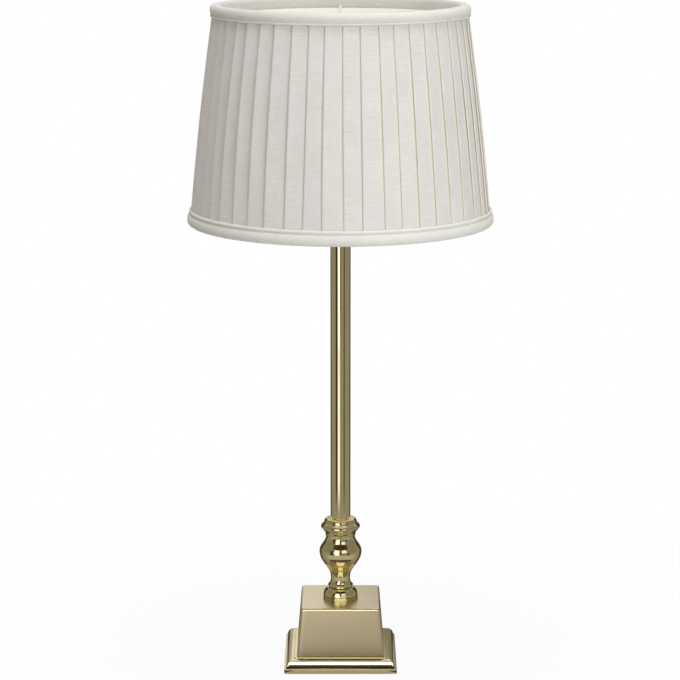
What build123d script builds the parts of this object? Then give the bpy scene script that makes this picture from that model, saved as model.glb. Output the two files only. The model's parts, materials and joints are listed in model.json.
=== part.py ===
from build123d import *
import os
from math import atan2, cos, degrees, radians, sin

# A candlestick table lamp: a stepped square base, a turned stem, a plain tube,
# a lampholder with its bulb, and a knife-pleated shade on a wire frame.
# Millimetres, +Z up. The origin is the middle of the felt's underside and -Y is the front.
# Threads are drawn as plain cylinders of their outer size.

# ---------------------------------------------------------------- clearances

fit_gap = 0.05        # around a spigot, tube or liner in the recess that holds it
thread_gap = 0.03     # around a screw in its thread
turn_gap = 0.08       # around the shade ring's thread, which turns
pass_gap = 0.3        # around a rod or screw that only passes through
rest_gap = 0.05       # between flat faces that turn on each other
sew_gap = 0.1         # between layers of the shade
drop_gap = 2.0        # around the ballast inside the plinth
boss_gap = 0.2        # between the ballast's bosses and the base plate

# ---------------------------------------------------------------- base

felt_thick = 2.0
felt_proud = 1.0          # how far the felt stands out under the moulding
felt_margin = 1.0         # from the felt's edge to the moulding's pocket

foot_width = 112.0        # across the moulding's lower fillet
fillet_height = 4.4       # the plain lower band
fillet_step = 1.5         # from that band in to the roll
roll_reach = 7.2          # the quarter-round, across
roll_height = 8.1         # the quarter-round, up
ledge_height = 1.2        # the thin flat band over the roll
ledge_step = 1.3          # from the roll in to that band
foot_edge_round = 0.5
foot_wall = 1.9           # the moulding's wall round the base plate
foot_corner = 2.5

plate_thick = 2.5

ledge_show = 2.5          # the part of that band that shows round the plinth
plinth_draw_in = 4.0      # how far each side of the plinth leans in by its top
plinth_height = 48.5
plinth_wall = 1.5
plinth_top_thick = 2.0
plinth_corner = 3.0
plinth_edge_round = 1.6
ledge_bearing = 2.5       # how far the moulding reaches in under the plinth's rim

ballast_height = 24.0
ballast_corner = 6.0
boss_radius = 6.0
boss_place = 25.0         # each boss, from the middle, along X and along Y

screw_radius = 2.0
screw_length = 12.0
screw_head_radius = 3.75
screw_head_height = 2.2

inlet_height = 9.0        # the cord inlet's middle, over the plinth's foot
inlet_radius = 3.4
bush_radius = 4.5
bush_flange_radius = 6.0
bush_flange_thick = 1.5
bush_lip_radius = 5.0
bush_lip_thick = 2.0

# ---------------------------------------------------------------- rod and its nuts

rod_radius = 5.0
rod_bore_radius = 3.5
rod_end = 2.0             # how far the rod's lower end stands out of its nut
nut_flats = 17.0
nut_thick = 5.5
washer_radius = 10.0
washer_thick = 1.5
lock_washer_radius = 8.5
lock_washer_thick = 1.6
lock_washer_cut = 1.5

# ---------------------------------------------------------------- stem

spigot_radius = 8.0       # the short spigots that line the turned pieces up
spigot_length = 2.0

stem_foot_radius = 17.6
stem_foot_lip = 1.0
stem_foot_height = 11.1
stem_foot_top_radius = 13.2

vase_height = 55.7
vase_foot_radius = 12.6
vase_foot_height = 2.6    # up to the widest of its foot
waist_radius = 9.65
waist_height = 9.7
belly_radius = 21.2
belly_height = 37.7
neck_radius = 14.6
neck_height = 53.3

collar_height = 16.6
collar_foot_radius = 15.2
flange_radius = 19.6
flange_height = 8.1       # up to the widest of the collar's flange
flange_half = 2.8
bead_radius = 16.4
bead_foot_height = 12.0
bead_top_radius = 13.4
collar_recess = 2.0       # from the bead's top down to the lip round the tube
collar_seat_height = 12.0

tube_radius = 10.0
tube_wall = 1.0
tube_length = 332.0

cap_radius = 11.5
cap_height = 6.0
cap_spigot_length = 6.0

# ---------------------------------------------------------------- lampholder

holder_neck_radius = 8.5
holder_neck_height = 8.5
holder_cap_height = 24.5
holder_radius = 19.6      # over its outer thread
holder_core_radius = 15.8
holder_core_height = 12.0
core_seat_height = 13.5   # the core's seat, over the holder's underside
core_hole_radius = 4.0
shell_spigot_length = 5.5
shell_spigot_radius = 17.4
holder_shell_height = 36.0
shell_plain_radius = 17.8     # over and under the outer thread
shell_lip_inner_radius = 14.6
flange_rise = 6.0         # the shade's seat, over the shell's foot
shade_flange_radius = 25.0
shade_flange_thick = 2.0
thread_height = 20.0
liner_radius = 14.0
liner_wall = 0.5
liner_height = 26.0
liner_lip_inner_radius = 9.0
grub_radius = 1.5
grub_height = 2.5         # the screw's middle, over the holder's underside
grub_sunk = 0.4
contact_thick = 0.4
contact_width = 5.0
contact_rise = 2.0

ring_outer_radius = 24.5
ring_height = 7.0
ring_flutes = 24
flute_radius = 1.2

# ---------------------------------------------------------------- bulb

bulb_cap_radius = 13.1
bulb_cap_height = 25.0
bulb_cap_wall = 0.5
bulb_tip_radius = 4.5
bulb_tip_height = 1.2
insulator_radius = 9.0
insulator_height = 2.0
bulb_gap = 0.4            # between the bulb's tip and the holder's contact
housing_height = 29.0
globe_radius = 30.0
globe_wall = 1.2
globe_cut_radius = 24.0   # where the globe meets its housing

# ---------------------------------------------------------------- shade

pleat_top_radius = 122.2      # over the pleats' edges, at the upper rim
pleat_bottom_radius = 147.1   # the same, at the lower rim
shade_height = 212.0
fitter_rise = 72.0            # the fitter's underside, over the lower rim
pleat_count = 48
pleat_share = 0.012           # a pleat's depth as a share of its radius
pleat_return = 0.06           # the part of a pleat's pitch that turns back under its edge
cloth_thick = 0.4
lining_thick = 0.5
cover_inset = 3.0             # from the rims to the cloth's cut edges

ring_wire = 3.0
strut_wire = 2.5
strut_count = 6
top_ring_drop = 7.0           # the upper wire ring's middle, under the upper rim
bottom_ring_rise = 5.5        # the lower wire ring's middle, over the lower rim

fitter_hole_radius = 20.2
fitter_outer_radius = 30.0
fitter_thick = 1.5
arm_wire = 3.0
arm_count = 3

trim_thick = 1.2
top_trim_height = 12.0
top_trim_lip = 2.0
top_trim_roll = 0.3           # how far the roll bulges
bottom_trim_height = 15.0
bottom_trim_lip = 3.5
bottom_trim_roll = 2.0

# ---------------------------------------------------------------- levels, from the floor up

foot_z = felt_proud
plate_z = felt_thick
plate_top_z = plate_z + plate_thick
fillet_top_z = foot_z + fillet_height
roll_top_z = fillet_top_z + roll_height
plinth_z = roll_top_z + ledge_height
plinth_top_z = plinth_z + plinth_height
ballast_top_z = plinth_top_z - plinth_top_thick
ballast_z = ballast_top_z - ballast_height
washer_z = ballast_z - washer_thick
lock_washer_z = washer_z - lock_washer_thick
rod_nut_z = lock_washer_z - nut_thick
rod_z = rod_nut_z - rod_end

vase_z = plinth_top_z + stem_foot_height
collar_z = vase_z + vase_height
tube_z = collar_z + collar_seat_height
tube_top_z = tube_z + tube_length
cap_top_z = tube_top_z + cap_height
holder_z = cap_top_z + nut_thick
rod_top_z = holder_z + holder_neck_height + 1.0

core_z = holder_z + core_seat_height
core_top_z = core_z + holder_core_height
shell_z = holder_z + holder_cap_height
shell_top_z = shell_z + holder_shell_height
flange_z = shell_z + flange_rise
flange_top_z = flange_z + shade_flange_thick
liner_z = core_top_z + 4.0
bulb_z = core_top_z + contact_thick + contact_rise + bulb_gap
bulb_cap_z = bulb_z + bulb_tip_height + insulator_height
bulb_cap_top_z = bulb_cap_z + bulb_cap_height
housing_top_z = bulb_cap_top_z + housing_height
globe_z = housing_top_z + (globe_radius ** 2 - globe_cut_radius ** 2) ** 0.5

fitter_z = flange_top_z + rest_gap
fitter_top_z = fitter_z + fitter_thick
shade_z = fitter_z - fitter_rise
shade_top_z = shade_z + shade_height
top_ring_z = shade_top_z - top_ring_drop
bottom_ring_z = shade_z + bottom_ring_rise

# ---------------------------------------------------------------- helpers


def disc(radius, low, high, x=0.0, y=0.0):
    """A plain cylinder between two levels."""
    upright = (Align.CENTER, Align.CENTER, Align.MIN)
    return Pos(x, y, low) * Cylinder(radius, high - low, align=upright)


def pipe(outer, inner, low, high):
    """A plain tube between two levels."""
    return disc(outer, low, high) - disc(inner, low - 1.0, high + 1.0)


def cone(low_radius, high_radius, low, high):
    """A cone between two levels."""
    upright = (Align.CENTER, Align.CENTER, Align.MIN)
    return Pos(0, 0, low) * Cone(low_radius, high_radius, high - low, align=upright)


def square(width, corner, z):
    """A square with round corners, at one level."""
    return Pos(0, 0, z) * RectangleRounded(width, width, corner)


def outline(*edges):
    """The flat face inside a closed run of edges, drawn as radius and height."""
    return make_face(Curve() + list(edges))


def turned(*edges):
    """A piece turned about the lamp's axis, from the right half of its section."""
    return revolve(Plane.XZ * outline(*edges), Axis.Z)


def swing(point_a, handle_a, handle_b, point_b):
    """A curve that leaves one point and meets the other upright, as turned profiles do."""
    return Bezier(
        point_a,
        (point_a[0], point_a[1] + handle_a),
        (point_b[0], point_b[1] - handle_b),
        point_b,
    )


def hexagon_nut(flats, bore, low, thick):
    """A plain hexagon nut."""
    corner = flats / 2 / cos(radians(30))
    blank = Pos(0, 0, low) * extrude(RegularPolygon(corner, 6), thick)
    return blank - disc(bore, low - 1.0, low + thick + 1.0)


def rod_between(start, end, radius):
    """A straight round wire from one point to another."""
    path = Line(start, end)
    return sweep(Plane(origin=start, z_dir=path % 0) * Circle(radius), path)


def on_circle(radius, angle, z):
    """A point at a radius and an angle in degrees."""
    return (radius * cos(radians(angle)), radius * sin(radians(angle)), z)


# ---------------------------------------------------------------- base

foot_half = foot_width / 2
pocket_width = foot_width - 2 * foot_wall
plinth_foot_half = foot_half - fillet_step - roll_reach - ledge_step - ledge_show
plinth_lean = plinth_draw_in / plinth_height
plinth_tilt = degrees(atan2(plinth_lean, 1.0))


def plinth_half(z):
    """Half the plinth's width at a level."""
    return plinth_foot_half - (z - plinth_z) * plinth_lean


def mitred_square(section, reach):
    """A square solid whose four sides share one section: two bars of it, crossed."""
    bar = extrude(Plane.XZ * section, reach, both=True)
    return bar & (Rot(0, 0, 90) * bar)


def make_felt_pad():
    width = pocket_width - 2 * felt_margin
    return extrude(square(width, foot_corner, 0.0), felt_thick)


def make_base_plate():
    """The steel plate that closes the base, with four countersunk holes."""
    width = pocket_width - 2 * pass_gap
    plate = extrude(square(width, foot_corner, plate_z), plate_thick)
    hole_radius = screw_radius + pass_gap
    sink = cone(screw_head_radius + fit_gap, hole_radius, plate_z, plate_z + screw_head_height)
    for spot in boss_spots():
        plate -= disc(hole_radius, plate_z - 1.0, plate_top_z + 1.0, *spot)
        plate -= Pos(*spot, 0) * sink
    return plate


def boss_spots():
    """The four bosses and base screws, as X and Y."""
    return [(x, y) for x in (-boss_place, boss_place) for y in (-boss_place, boss_place)]


def make_base_screws():
    """Four countersunk screws, heads down, in one node."""
    head = cone(screw_head_radius, screw_radius, plate_z, plate_z + screw_head_height)
    shank = disc(screw_radius, plate_z + screw_head_height, plate_z + screw_length)
    return Compound(children=[Pos(*spot, 0) * (head + shank) for spot in boss_spots()])


def make_foot_moulding():
    """The stepped foot: a plain band, a quarter-round and a thin ledge, over a pocket for the plate."""
    roll_foot = foot_half - fillet_step
    roll_top = roll_foot - roll_reach
    ledge_half = roll_top - ledge_step
    bend = 0.7071
    roll_middle = (roll_top + roll_reach * bend, fillet_top_z + roll_height * bend)
    right = [
        Line((0, foot_z), (foot_half, foot_z)),
        Line((foot_half, foot_z), (foot_half, fillet_top_z - foot_edge_round)),
        Line((foot_half, fillet_top_z - foot_edge_round), (foot_half - foot_edge_round, fillet_top_z)),
        Line((foot_half - foot_edge_round, fillet_top_z), (roll_foot, fillet_top_z)),
        ThreePointArc((roll_foot, fillet_top_z), roll_middle, (roll_top, roll_top_z)),
        Line((roll_top, roll_top_z), (ledge_half, roll_top_z)),
        Line((ledge_half, roll_top_z), (ledge_half, plinth_z)),
        Line((ledge_half, plinth_z), (0, plinth_z)),
    ]
    left = [mirror(edge, Plane.YZ) for edge in right]
    block = mitred_square(outline(*right, *left), foot_width)
    block &= extrude(square(foot_width, foot_corner, foot_z), plinth_z - foot_z)
    block -= extrude(square(pocket_width, foot_corner, foot_z), plate_top_z - foot_z)
    opening_width = 2 * (plinth_foot_half - ledge_bearing)
    block -= extrude(square(opening_width, plinth_corner, plate_top_z), plinth_z - plate_top_z)
    return block


def plinth_blank(inset, low, high):
    """The plinth's tapered form, drawn in by the wall's thickness."""
    corner = max(plinth_corner - inset, 0.5)
    foot = square(2 * (plinth_half(low) - inset), corner, low)
    top = square(2 * (plinth_half(high) - inset), corner, high)
    return loft([foot, top])


def inlet_plane():
    """The middle of the cord inlet on the rear face, with Z along the way out."""
    z = plinth_z + inlet_height
    tilt = radians(plinth_tilt)
    return Plane(origin=(0, plinth_half(z), z), x_dir=(-1, 0, 0), z_dir=(0, cos(tilt), sin(tilt)))


def make_plinth_block():
    """The hollow tapered block, open below, bored for the rod and for the cord's bush."""
    block = plinth_blank(0.0, plinth_z, plinth_top_z)
    block = fillet(block.edges().group_by(Axis.Z)[-1], plinth_edge_round)
    block -= plinth_blank(plinth_wall, plinth_z, ballast_top_z)
    block -= disc(rod_radius + pass_gap, ballast_top_z - 1.0, plinth_top_z + 1.0)
    return block - inlet_plane() * disc(bush_radius + fit_gap, -3 * plinth_wall, plinth_wall)


def make_cord_bush():
    """The bush that lines the cord's hole: a flange outside, a barrel and a snap lip inside."""
    wall = plinth_wall * cos(radians(plinth_tilt))
    barrel = disc(bush_radius, -wall - bush_lip_thick, 0.0)
    flange = disc(bush_flange_radius, 0.0, bush_flange_thick)
    flange = fillet(flange.edges().group_by(Axis.Z)[-1], bush_flange_thick / 2)
    lip = disc(bush_lip_radius, -wall - bush_lip_thick, -wall)
    bore = disc(inlet_radius, -wall - bush_lip_thick - 1.0, bush_flange_thick + 1.0)
    return inlet_plane() * (barrel + flange + lip - bore)


def make_ballast():
    """The cast weight under the plinth's top, with four tapped bosses down to the base plate."""
    width = 2 * (plinth_half(ballast_top_z) - plinth_wall - drop_gap)
    block = extrude(square(width, ballast_corner, ballast_z), ballast_height)
    for spot in boss_spots():
        block += disc(boss_radius, plate_top_z + boss_gap, ballast_z, *spot)
    for spot in boss_spots():
        block -= disc(screw_radius + thread_gap, plate_top_z, plate_z + screw_length + 1.0, *spot)
    return block - disc(rod_radius + pass_gap, ballast_z - 1.0, ballast_top_z + 1.0)


# ---------------------------------------------------------------- rod and its nuts


def make_threaded_rod():
    """The hollow rod that clamps the lamp together and carries the cord."""
    return pipe(rod_radius, rod_bore_radius, rod_z, rod_top_z)


def make_lock_washer():
    """A spring washer, split at one side."""
    washer = pipe(lock_washer_radius, rod_radius + pass_gap, lock_washer_z, washer_z)
    middle = (lock_washer_z + washer_z) / 2
    cut = Pos(lock_washer_radius, 0, middle) * Box(
        2 * (lock_washer_radius - rod_radius) + 2.0, lock_washer_cut, 2 * lock_washer_thick
    )
    return washer - cut


# ---------------------------------------------------------------- stem


def make_stem_foot():
    """The domed foot under the vase, with a lip that stands on the plinth."""
    lip_top = plinth_top_z + stem_foot_lip
    dome_radius = stem_foot_radius - 0.5
    dome_side = (stem_foot_radius - 1.0, vase_z - 0.42 * stem_foot_height)
    recess_z = vase_z - spigot_length - pass_gap
    bore = rod_radius + pass_gap
    recess = spigot_radius + fit_gap
    return turned(
        Line((bore, plinth_top_z), (stem_foot_radius, plinth_top_z)),
        Line((stem_foot_radius, plinth_top_z), (stem_foot_radius, lip_top)),
        Line((stem_foot_radius, lip_top), (dome_radius, lip_top)),
        ThreePointArc((dome_radius, lip_top), dome_side, (stem_foot_top_radius, vase_z)),
        Line((stem_foot_top_radius, vase_z), (recess, vase_z)),
        Line((recess, vase_z), (recess, recess_z)),
        Line((recess, recess_z), (bore, recess_z)),
        Line((bore, recess_z), (bore, plinth_top_z)),
    )


def make_baluster_vase():
    """The turned vase: a flared foot, a waist, a full belly and a neck, with a spigot at each end."""
    foot = (vase_foot_radius - 0.6, vase_z)
    flare = (vase_foot_radius, vase_z + vase_foot_height)
    foot_side = (vase_foot_radius - 0.15, vase_z + vase_foot_height / 2)
    waist = (waist_radius, vase_z + waist_height)
    belly = (belly_radius, vase_z + belly_height)
    neck = (neck_radius, vase_z + neck_height)
    shoulder = (collar_foot_radius, collar_z)
    waist_rise = belly_height - waist_height
    belly_rise = neck_height - belly_height
    cove_rise = waist_height - vase_foot_height
    cove = Bezier(
        flare,
        (flare[0] - 0.5 * (vase_foot_radius - waist_radius), flare[1] + 0.15 * cove_rise),
        (waist[0], waist[1] - 0.6 * cove_rise),
        waist,
    )
    bore = rod_radius + pass_gap
    spigot_z = vase_z - spigot_length
    spigot_top_z = collar_z + spigot_length
    return turned(
        Line((bore, spigot_z), (spigot_radius, spigot_z)),
        Line((spigot_radius, spigot_z), (spigot_radius, vase_z)),
        Line((spigot_radius, vase_z), foot),
        ThreePointArc(foot, foot_side, flare),
        cove,
        swing(waist, 0.43 * waist_rise, 0.43 * waist_rise, belly),
        swing(belly, 0.40 * belly_rise, 0.38 * belly_rise, neck),
        Line(neck, shoulder),
        Line(shoulder, (spigot_radius, collar_z)),
        Line((spigot_radius, collar_z), (spigot_radius, spigot_top_z)),
        Line((spigot_radius, spigot_top_z), (bore, spigot_top_z)),
        Line((bore, spigot_top_z), (bore, spigot_z)),
    )


def make_collar():
    """The collar that holds the tube: a cove, a rounded flange and a bead with a dished top."""
    foot = (collar_foot_radius, collar_z)
    widest_z = collar_z + flange_height
    flange_foot = (flange_radius - 0.55 * flange_half, widest_z - 0.9 * flange_half)
    flange_top = (flange_radius - 0.7 * flange_half, widest_z + flange_half)
    bead_foot = (bead_radius, collar_z + bead_foot_height)
    top_z = collar_z + collar_height
    bead_top = (bead_top_radius, top_z)
    bead_side = (bead_radius - 0.6, (bead_foot[1] + top_z) / 2 + 0.4)
    bore = rod_radius + pass_gap
    seat = tube_radius + fit_gap
    recess = spigot_radius + fit_gap
    recess_z = collar_z + spigot_length + pass_gap
    lip_z = top_z - collar_recess
    cove = Bezier(
        foot,
        (foot[0] + 0.3, foot[1] + 0.5 * (flange_foot[1] - foot[1])),
        (flange_foot[0] - 0.6, flange_foot[1] - 0.3 * (flange_foot[1] - foot[1])),
        flange_foot,
    )
    return turned(
        Line((recess, collar_z), foot),
        cove,
        ThreePointArc(flange_foot, (flange_radius, widest_z), flange_top),
        Line(flange_top, bead_foot),
        ThreePointArc(bead_foot, bead_side, bead_top),
        Line(bead_top, (seat, lip_z)),
        Line((seat, lip_z), (seat, tube_z)),
        Line((seat, tube_z), (bore, tube_z)),
        Line((bore, tube_z), (bore, recess_z)),
        Line((bore, recess_z), (recess, recess_z)),
        Line((recess, recess_z), (recess, collar_z)),
    )


def make_column_cap():
    """The cap on the tube's upper end, with a spigot inside the tube."""
    body = disc(cap_radius, tube_top_z, cap_top_z)
    body = fillet(body.edges().group_by(Axis.Z)[-1], cap_height / 3)
    spigot = disc(tube_radius - tube_wall - fit_gap, tube_top_z - cap_spigot_length, tube_top_z)
    bore = disc(rod_radius + pass_gap, tube_top_z - cap_spigot_length - 1.0, cap_top_z + 1.0)
    return body + spigot - bore


# ---------------------------------------------------------------- lampholder

shell_socket_radius = shell_spigot_radius + thread_gap
shell_bore_radius = liner_radius + fit_gap


def make_holder_cap():
    """The holder's lower half: a neck tapped for the rod, and a bell that takes the shell."""
    neck_z = holder_z + holder_neck_height
    bell_z = shell_z - shell_spigot_length
    bore = rod_radius + thread_gap
    core_bore = holder_core_radius + fit_gap
    body = turned(
        Line((bore, holder_z), (holder_neck_radius, holder_z)),
        Line((holder_neck_radius, holder_z), (holder_neck_radius, holder_z + 5.0)),
        Bezier(
            (holder_neck_radius, holder_z + 5.0),
            (holder_neck_radius, core_z - 2.0),
            (holder_radius, neck_z),
            (holder_radius, core_z),
        ),
        Line((holder_radius, core_z), (holder_radius, shell_z)),
        Line((holder_radius, shell_z), (shell_socket_radius, shell_z)),
        Line((shell_socket_radius, shell_z), (shell_socket_radius, bell_z)),
        Line((shell_socket_radius, bell_z), (core_bore, bell_z)),
        Line((core_bore, bell_z), (core_bore, core_z)),
        Line((core_bore, core_z), (core_bore - 4.0, core_z)),
        Line((core_bore - 4.0, core_z), (bore + 1.5, neck_z)),
        Line((bore + 1.5, neck_z), (bore, neck_z)),
        Line((bore, neck_z), (bore, holder_z)),
    )
    return body - grub_run(grub_radius + thread_gap, rod_radius - 1.0, holder_neck_radius + 1.0)


def grub_run(radius, start, end):
    """A cylinder across the neck, between two distances from the lamp's axis."""
    return Pos(0, 0, holder_z + grub_height) * Rot(0, 90, 0) * disc(radius, start, end)


def make_holder_grub_screw():
    """The neck's set screw, from the rod to just under the neck's side."""
    return grub_run(grub_radius, rod_radius + thread_gap, holder_neck_radius - grub_sunk)


def make_holder_core():
    """The ceramic insert, bored for the two wires."""
    core = disc(holder_core_radius, core_z, core_top_z)
    for x in (-7.0, 7.0):
        core -= disc(core_hole_radius / 2, core_z - 1.0, core_top_z + 1.0, x, 6.0)
    return core - disc(core_hole_radius, core_z - 1.0, core_z + holder_core_height / 2)


def make_centre_contact():
    """The bent strip on the core that meets the bulb's tip."""
    top = core_top_z + contact_rise
    strip = make_face(
        Polyline(
            (-9.0, core_top_z),
            (-4.0, core_top_z),
            (-2.5, top),
            (2.5, top),
            (2.5, top + contact_thick),
            (-2.9, top + contact_thick),
            (-4.4, core_top_z + contact_thick),
            (-9.0, core_top_z + contact_thick),
            close=True,
        )
    )
    return extrude(Plane.XZ * strip, contact_width / 2, both=True)


def make_side_contact():
    """The strip that joins the core to the threaded liner."""
    inner = liner_radius - 2.5
    foot = Pos(inner - 1.0, 0, core_top_z + contact_thick / 2) * Box(3.0, contact_width, contact_thick)
    stand_height = liner_z - core_top_z
    stand = Box(contact_thick, contact_width, stand_height)
    stand = Pos(inner + 0.3, 0, core_top_z + stand_height / 2) * stand
    return foot + stand


def make_screw_shell():
    """The threaded metal liner that the bulb screws into."""
    liner = pipe(liner_radius, liner_radius - liner_wall, liner_z, liner_z + liner_height)
    return liner + pipe(liner_radius - liner_wall, liner_lip_inner_radius, liner_z, liner_z + liner_wall)


def make_holder_shell():
    """The holder's upper half: a spigot in the cap, a flange for the shade and an outer thread."""
    spigot_z = shell_z - shell_spigot_length
    spigot = pipe(shell_spigot_radius, holder_core_radius + fit_gap, spigot_z, shell_z)
    keeper = pipe(holder_radius, shell_lip_inner_radius, core_top_z, liner_z)
    foot = pipe(holder_radius, holder_core_radius + fit_gap, shell_z, core_top_z)
    flange = pipe(shade_flange_radius, shell_bore_radius, flange_z, flange_top_z)
    barrel = pipe(shell_plain_radius, shell_bore_radius, liner_z, shell_top_z)
    thread = pipe(holder_radius, shell_bore_radius, liner_z, flange_top_z + thread_height)
    return spigot + foot + keeper + flange + barrel + thread


def make_shade_ring():
    """The ring nut that clamps the shade down, fluted for the fingers."""
    low = fitter_top_z + rest_gap
    ring = pipe(ring_outer_radius, holder_radius + turn_gap, low, low + ring_height)
    for i in range(ring_flutes):
        x, y, _ = on_circle(ring_outer_radius + 0.4, i * 360 / ring_flutes, 0)
        ring -= disc(flute_radius, low + 1.5, low + ring_height + 1.0, x, y)
    return ring


# ---------------------------------------------------------------- bulb


def make_bulb_tip():
    return disc(bulb_tip_radius, bulb_z, bulb_z + bulb_tip_height)


def make_bulb_insulator():
    low = bulb_z + bulb_tip_height
    return cone(bulb_tip_radius + 1.0, insulator_radius, low, bulb_cap_z)


def make_bulb_screw_cap():
    """The threaded cap, a thin cup over the insulator."""
    cup = disc(bulb_cap_radius, bulb_cap_z, bulb_cap_top_z)
    return cup - disc(bulb_cap_radius - bulb_cap_wall, bulb_cap_z + bulb_cap_wall, bulb_cap_top_z + 1.0)


def make_bulb_housing():
    """The white housing that flares from the cap to the globe."""
    rise = housing_height / 2
    outer = globe_cut_radius
    inner = bulb_cap_radius + 0.5
    return turned(
        Line((0, bulb_cap_top_z), (inner, bulb_cap_top_z)),
        Bezier(
            (inner, bulb_cap_top_z),
            (inner, bulb_cap_top_z + rise),
            (outer - rise * 0.5, housing_top_z - rise * 0.65),
            (outer, housing_top_z),
        ),
        Line((outer, housing_top_z), (0, housing_top_z)),
        Line((0, housing_top_z), (0, bulb_cap_top_z)),
    )


def make_bulb_globe():
    """The opal globe, a thin ball cut flat where it stands on the housing."""
    ball = Pos(0, 0, globe_z) * (Sphere(globe_radius) - Sphere(globe_radius - globe_wall))
    return ball - disc(2 * globe_radius, globe_z - 2 * globe_radius, housing_top_z)


# ---------------------------------------------------------------- shade

shade_lean = (pleat_bottom_radius - pleat_top_radius) / shade_height
pleat_pitch = 360 / pleat_count


def pleat_radius(z):
    """The radius over the pleats' edges at a level."""
    return pleat_bottom_radius - (z - shade_z) * shade_lean


def cover_inner(z):
    return pleat_radius(z) * (1 - pleat_share) - cloth_thick


def frame_radius(z):
    """The wire rings' and struts' centre line."""
    return cover_inner(z) - sew_gap - ring_wire / 2


def lining_outer(z):
    return frame_radius(z) - ring_wire / 2 - sew_gap


def lining_inner(z):
    return lining_outer(z) - lining_thick


def pleat_outline(z):
    """The cover's edge at a level: each pleat stands out at its fold and runs in under the next."""
    fold = pleat_radius(z)
    under = fold * (1 - pleat_share)
    points = []
    for i in range(pleat_count):
        start = i * pleat_pitch
        points.append(on_circle(fold, start, 0)[:2])
        points.append(on_circle(under, start + pleat_pitch * (1 - pleat_return), 0)[:2])
    return Pos(0, 0, z) * make_face(Polyline(*points, close=True))


def backing_outline(z):
    """The cover's inner edge at a level: two flats to a pleat, just clear of the frame's circle."""
    flat = pleat_pitch / 2
    reach = cover_inner(z) / cos(radians(flat / 2))
    points = [on_circle(reach, i * flat, 0)[:2] for i in range(2 * pleat_count)]
    return Pos(0, 0, z) * make_face(Polyline(*points, close=True))


def make_pleated_cover():
    """The knife-pleated cloth, as one closed sheet of flat panels."""
    low = shade_z + cover_inset
    high = shade_top_z - cover_inset
    sheet = loft([pleat_outline(low), pleat_outline(high)], ruled=True)
    return sheet - loft([backing_outline(low - 1.0), backing_outline(high + 1.0)], ruled=True)


def arm_angle(i):
    return 90 + i * 360 / arm_count


def arm_line(i, radius):
    """One arm's wire, from the fitter up to the upper ring."""
    start = on_circle(fitter_outer_radius - arm_wire, arm_angle(i), fitter_z + fitter_thick / 2)
    end = on_circle(frame_radius(top_ring_z), arm_angle(i), top_ring_z)
    return rod_between(start, end, radius)


def make_shade_lining():
    """The smooth inner cloth, notched round the arms."""
    low = shade_z + cover_inset
    high = shade_top_z - cover_inset
    sheet = cone(lining_outer(low), lining_outer(high), low, high)
    sheet -= cone(lining_inner(low - 1.0), lining_inner(high + 1.0), low - 1.0, high + 1.0)
    for i in range(arm_count):
        sheet -= arm_line(i, arm_wire / 2 + pass_gap)
    return sheet


def wire_ring(z):
    """A closed wire ring at a level."""
    return Pos(0, 0, z) * Torus(frame_radius(z), ring_wire / 2)


def make_strut(i):
    """One upright of the frame, welded between the two rings, clear of the arms."""
    angle = arm_angle(0) + (i + 0.5) * 360 / strut_count
    low = on_circle(frame_radius(bottom_ring_z), angle, bottom_ring_z)
    high = on_circle(frame_radius(top_ring_z), angle, top_ring_z)
    return rod_between(low, high, strut_wire / 2) - wire_ring(bottom_ring_z) - wire_ring(top_ring_z)


def make_fitter_arm(i):
    """One arm, welded to the fitter's edge and to the upper ring."""
    clear = disc(fitter_outer_radius, fitter_z - 10.0, fitter_top_z + 10.0)
    return arm_line(i, arm_wire / 2) - clear - wire_ring(top_ring_z)


def trim_section(rim_z, way, height, lip, roll):
    """A binding's section: a lip along its open edge, a soft roll and a leg inside the lining.

    way is 1 where the binding opens downwards and -1 where it opens upwards.
    """
    open_z = rim_z - way * height
    lip_z = open_z + way * lip
    crown_z = (lip_z + rim_z) / 2
    shoulder_z = rim_z - way * 0.2 * height
    floor_z = rim_z - way * (cover_inset - 2 * sew_gap)
    skin = trim_thick + sew_gap
    lip_foot = (pleat_radius(open_z) + skin, open_z)
    lip_top = (pleat_radius(lip_z) + skin, lip_z)
    crown = (pleat_radius(crown_z) + skin + roll, crown_z)
    outer_rim = (pleat_radius(rim_z) - 0.5 * trim_thick, rim_z)
    inner_rim = (lining_inner(rim_z) - 0.3 * trim_thick, rim_z)
    inner_leg = (lining_inner(shoulder_z) - skin, shoulder_z)
    inner_open = (lining_inner(open_z) - skin, open_z)
    outside = outline(
        Line(lip_foot, lip_top),
        Spline(lip_top, crown, outer_rim),
        Line(outer_rim, inner_rim),
        Line(inner_rim, inner_leg),
        Line(inner_leg, inner_open),
        Line(inner_open, lip_foot),
    )
    channel = make_face(
        Polyline(
            (pleat_radius(open_z - way) + sew_gap, open_z - way),
            (pleat_radius(floor_z) + sew_gap, floor_z),
            (lining_inner(floor_z) - sew_gap, floor_z),
            (lining_inner(open_z - way) - sew_gap, open_z - way),
            close=True,
        )
    )
    return outside - channel


def make_top_binding():
    """The cloth binding over the upper rim, notched round the arms."""
    section = trim_section(shade_top_z, 1, top_trim_height, top_trim_lip, top_trim_roll)
    ring = revolve(Plane.XZ * section, Axis.Z)
    for i in range(arm_count):
        ring -= arm_line(i, arm_wire / 2 + pass_gap)
    return ring


def make_bottom_binding():
    """The fuller cloth binding under the lower rim."""
    section = trim_section(shade_z, -1, bottom_trim_height, bottom_trim_lip, bottom_trim_roll)
    return revolve(Plane.XZ * section, Axis.Z)


# ---------------------------------------------------------------- all the pieces

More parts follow.
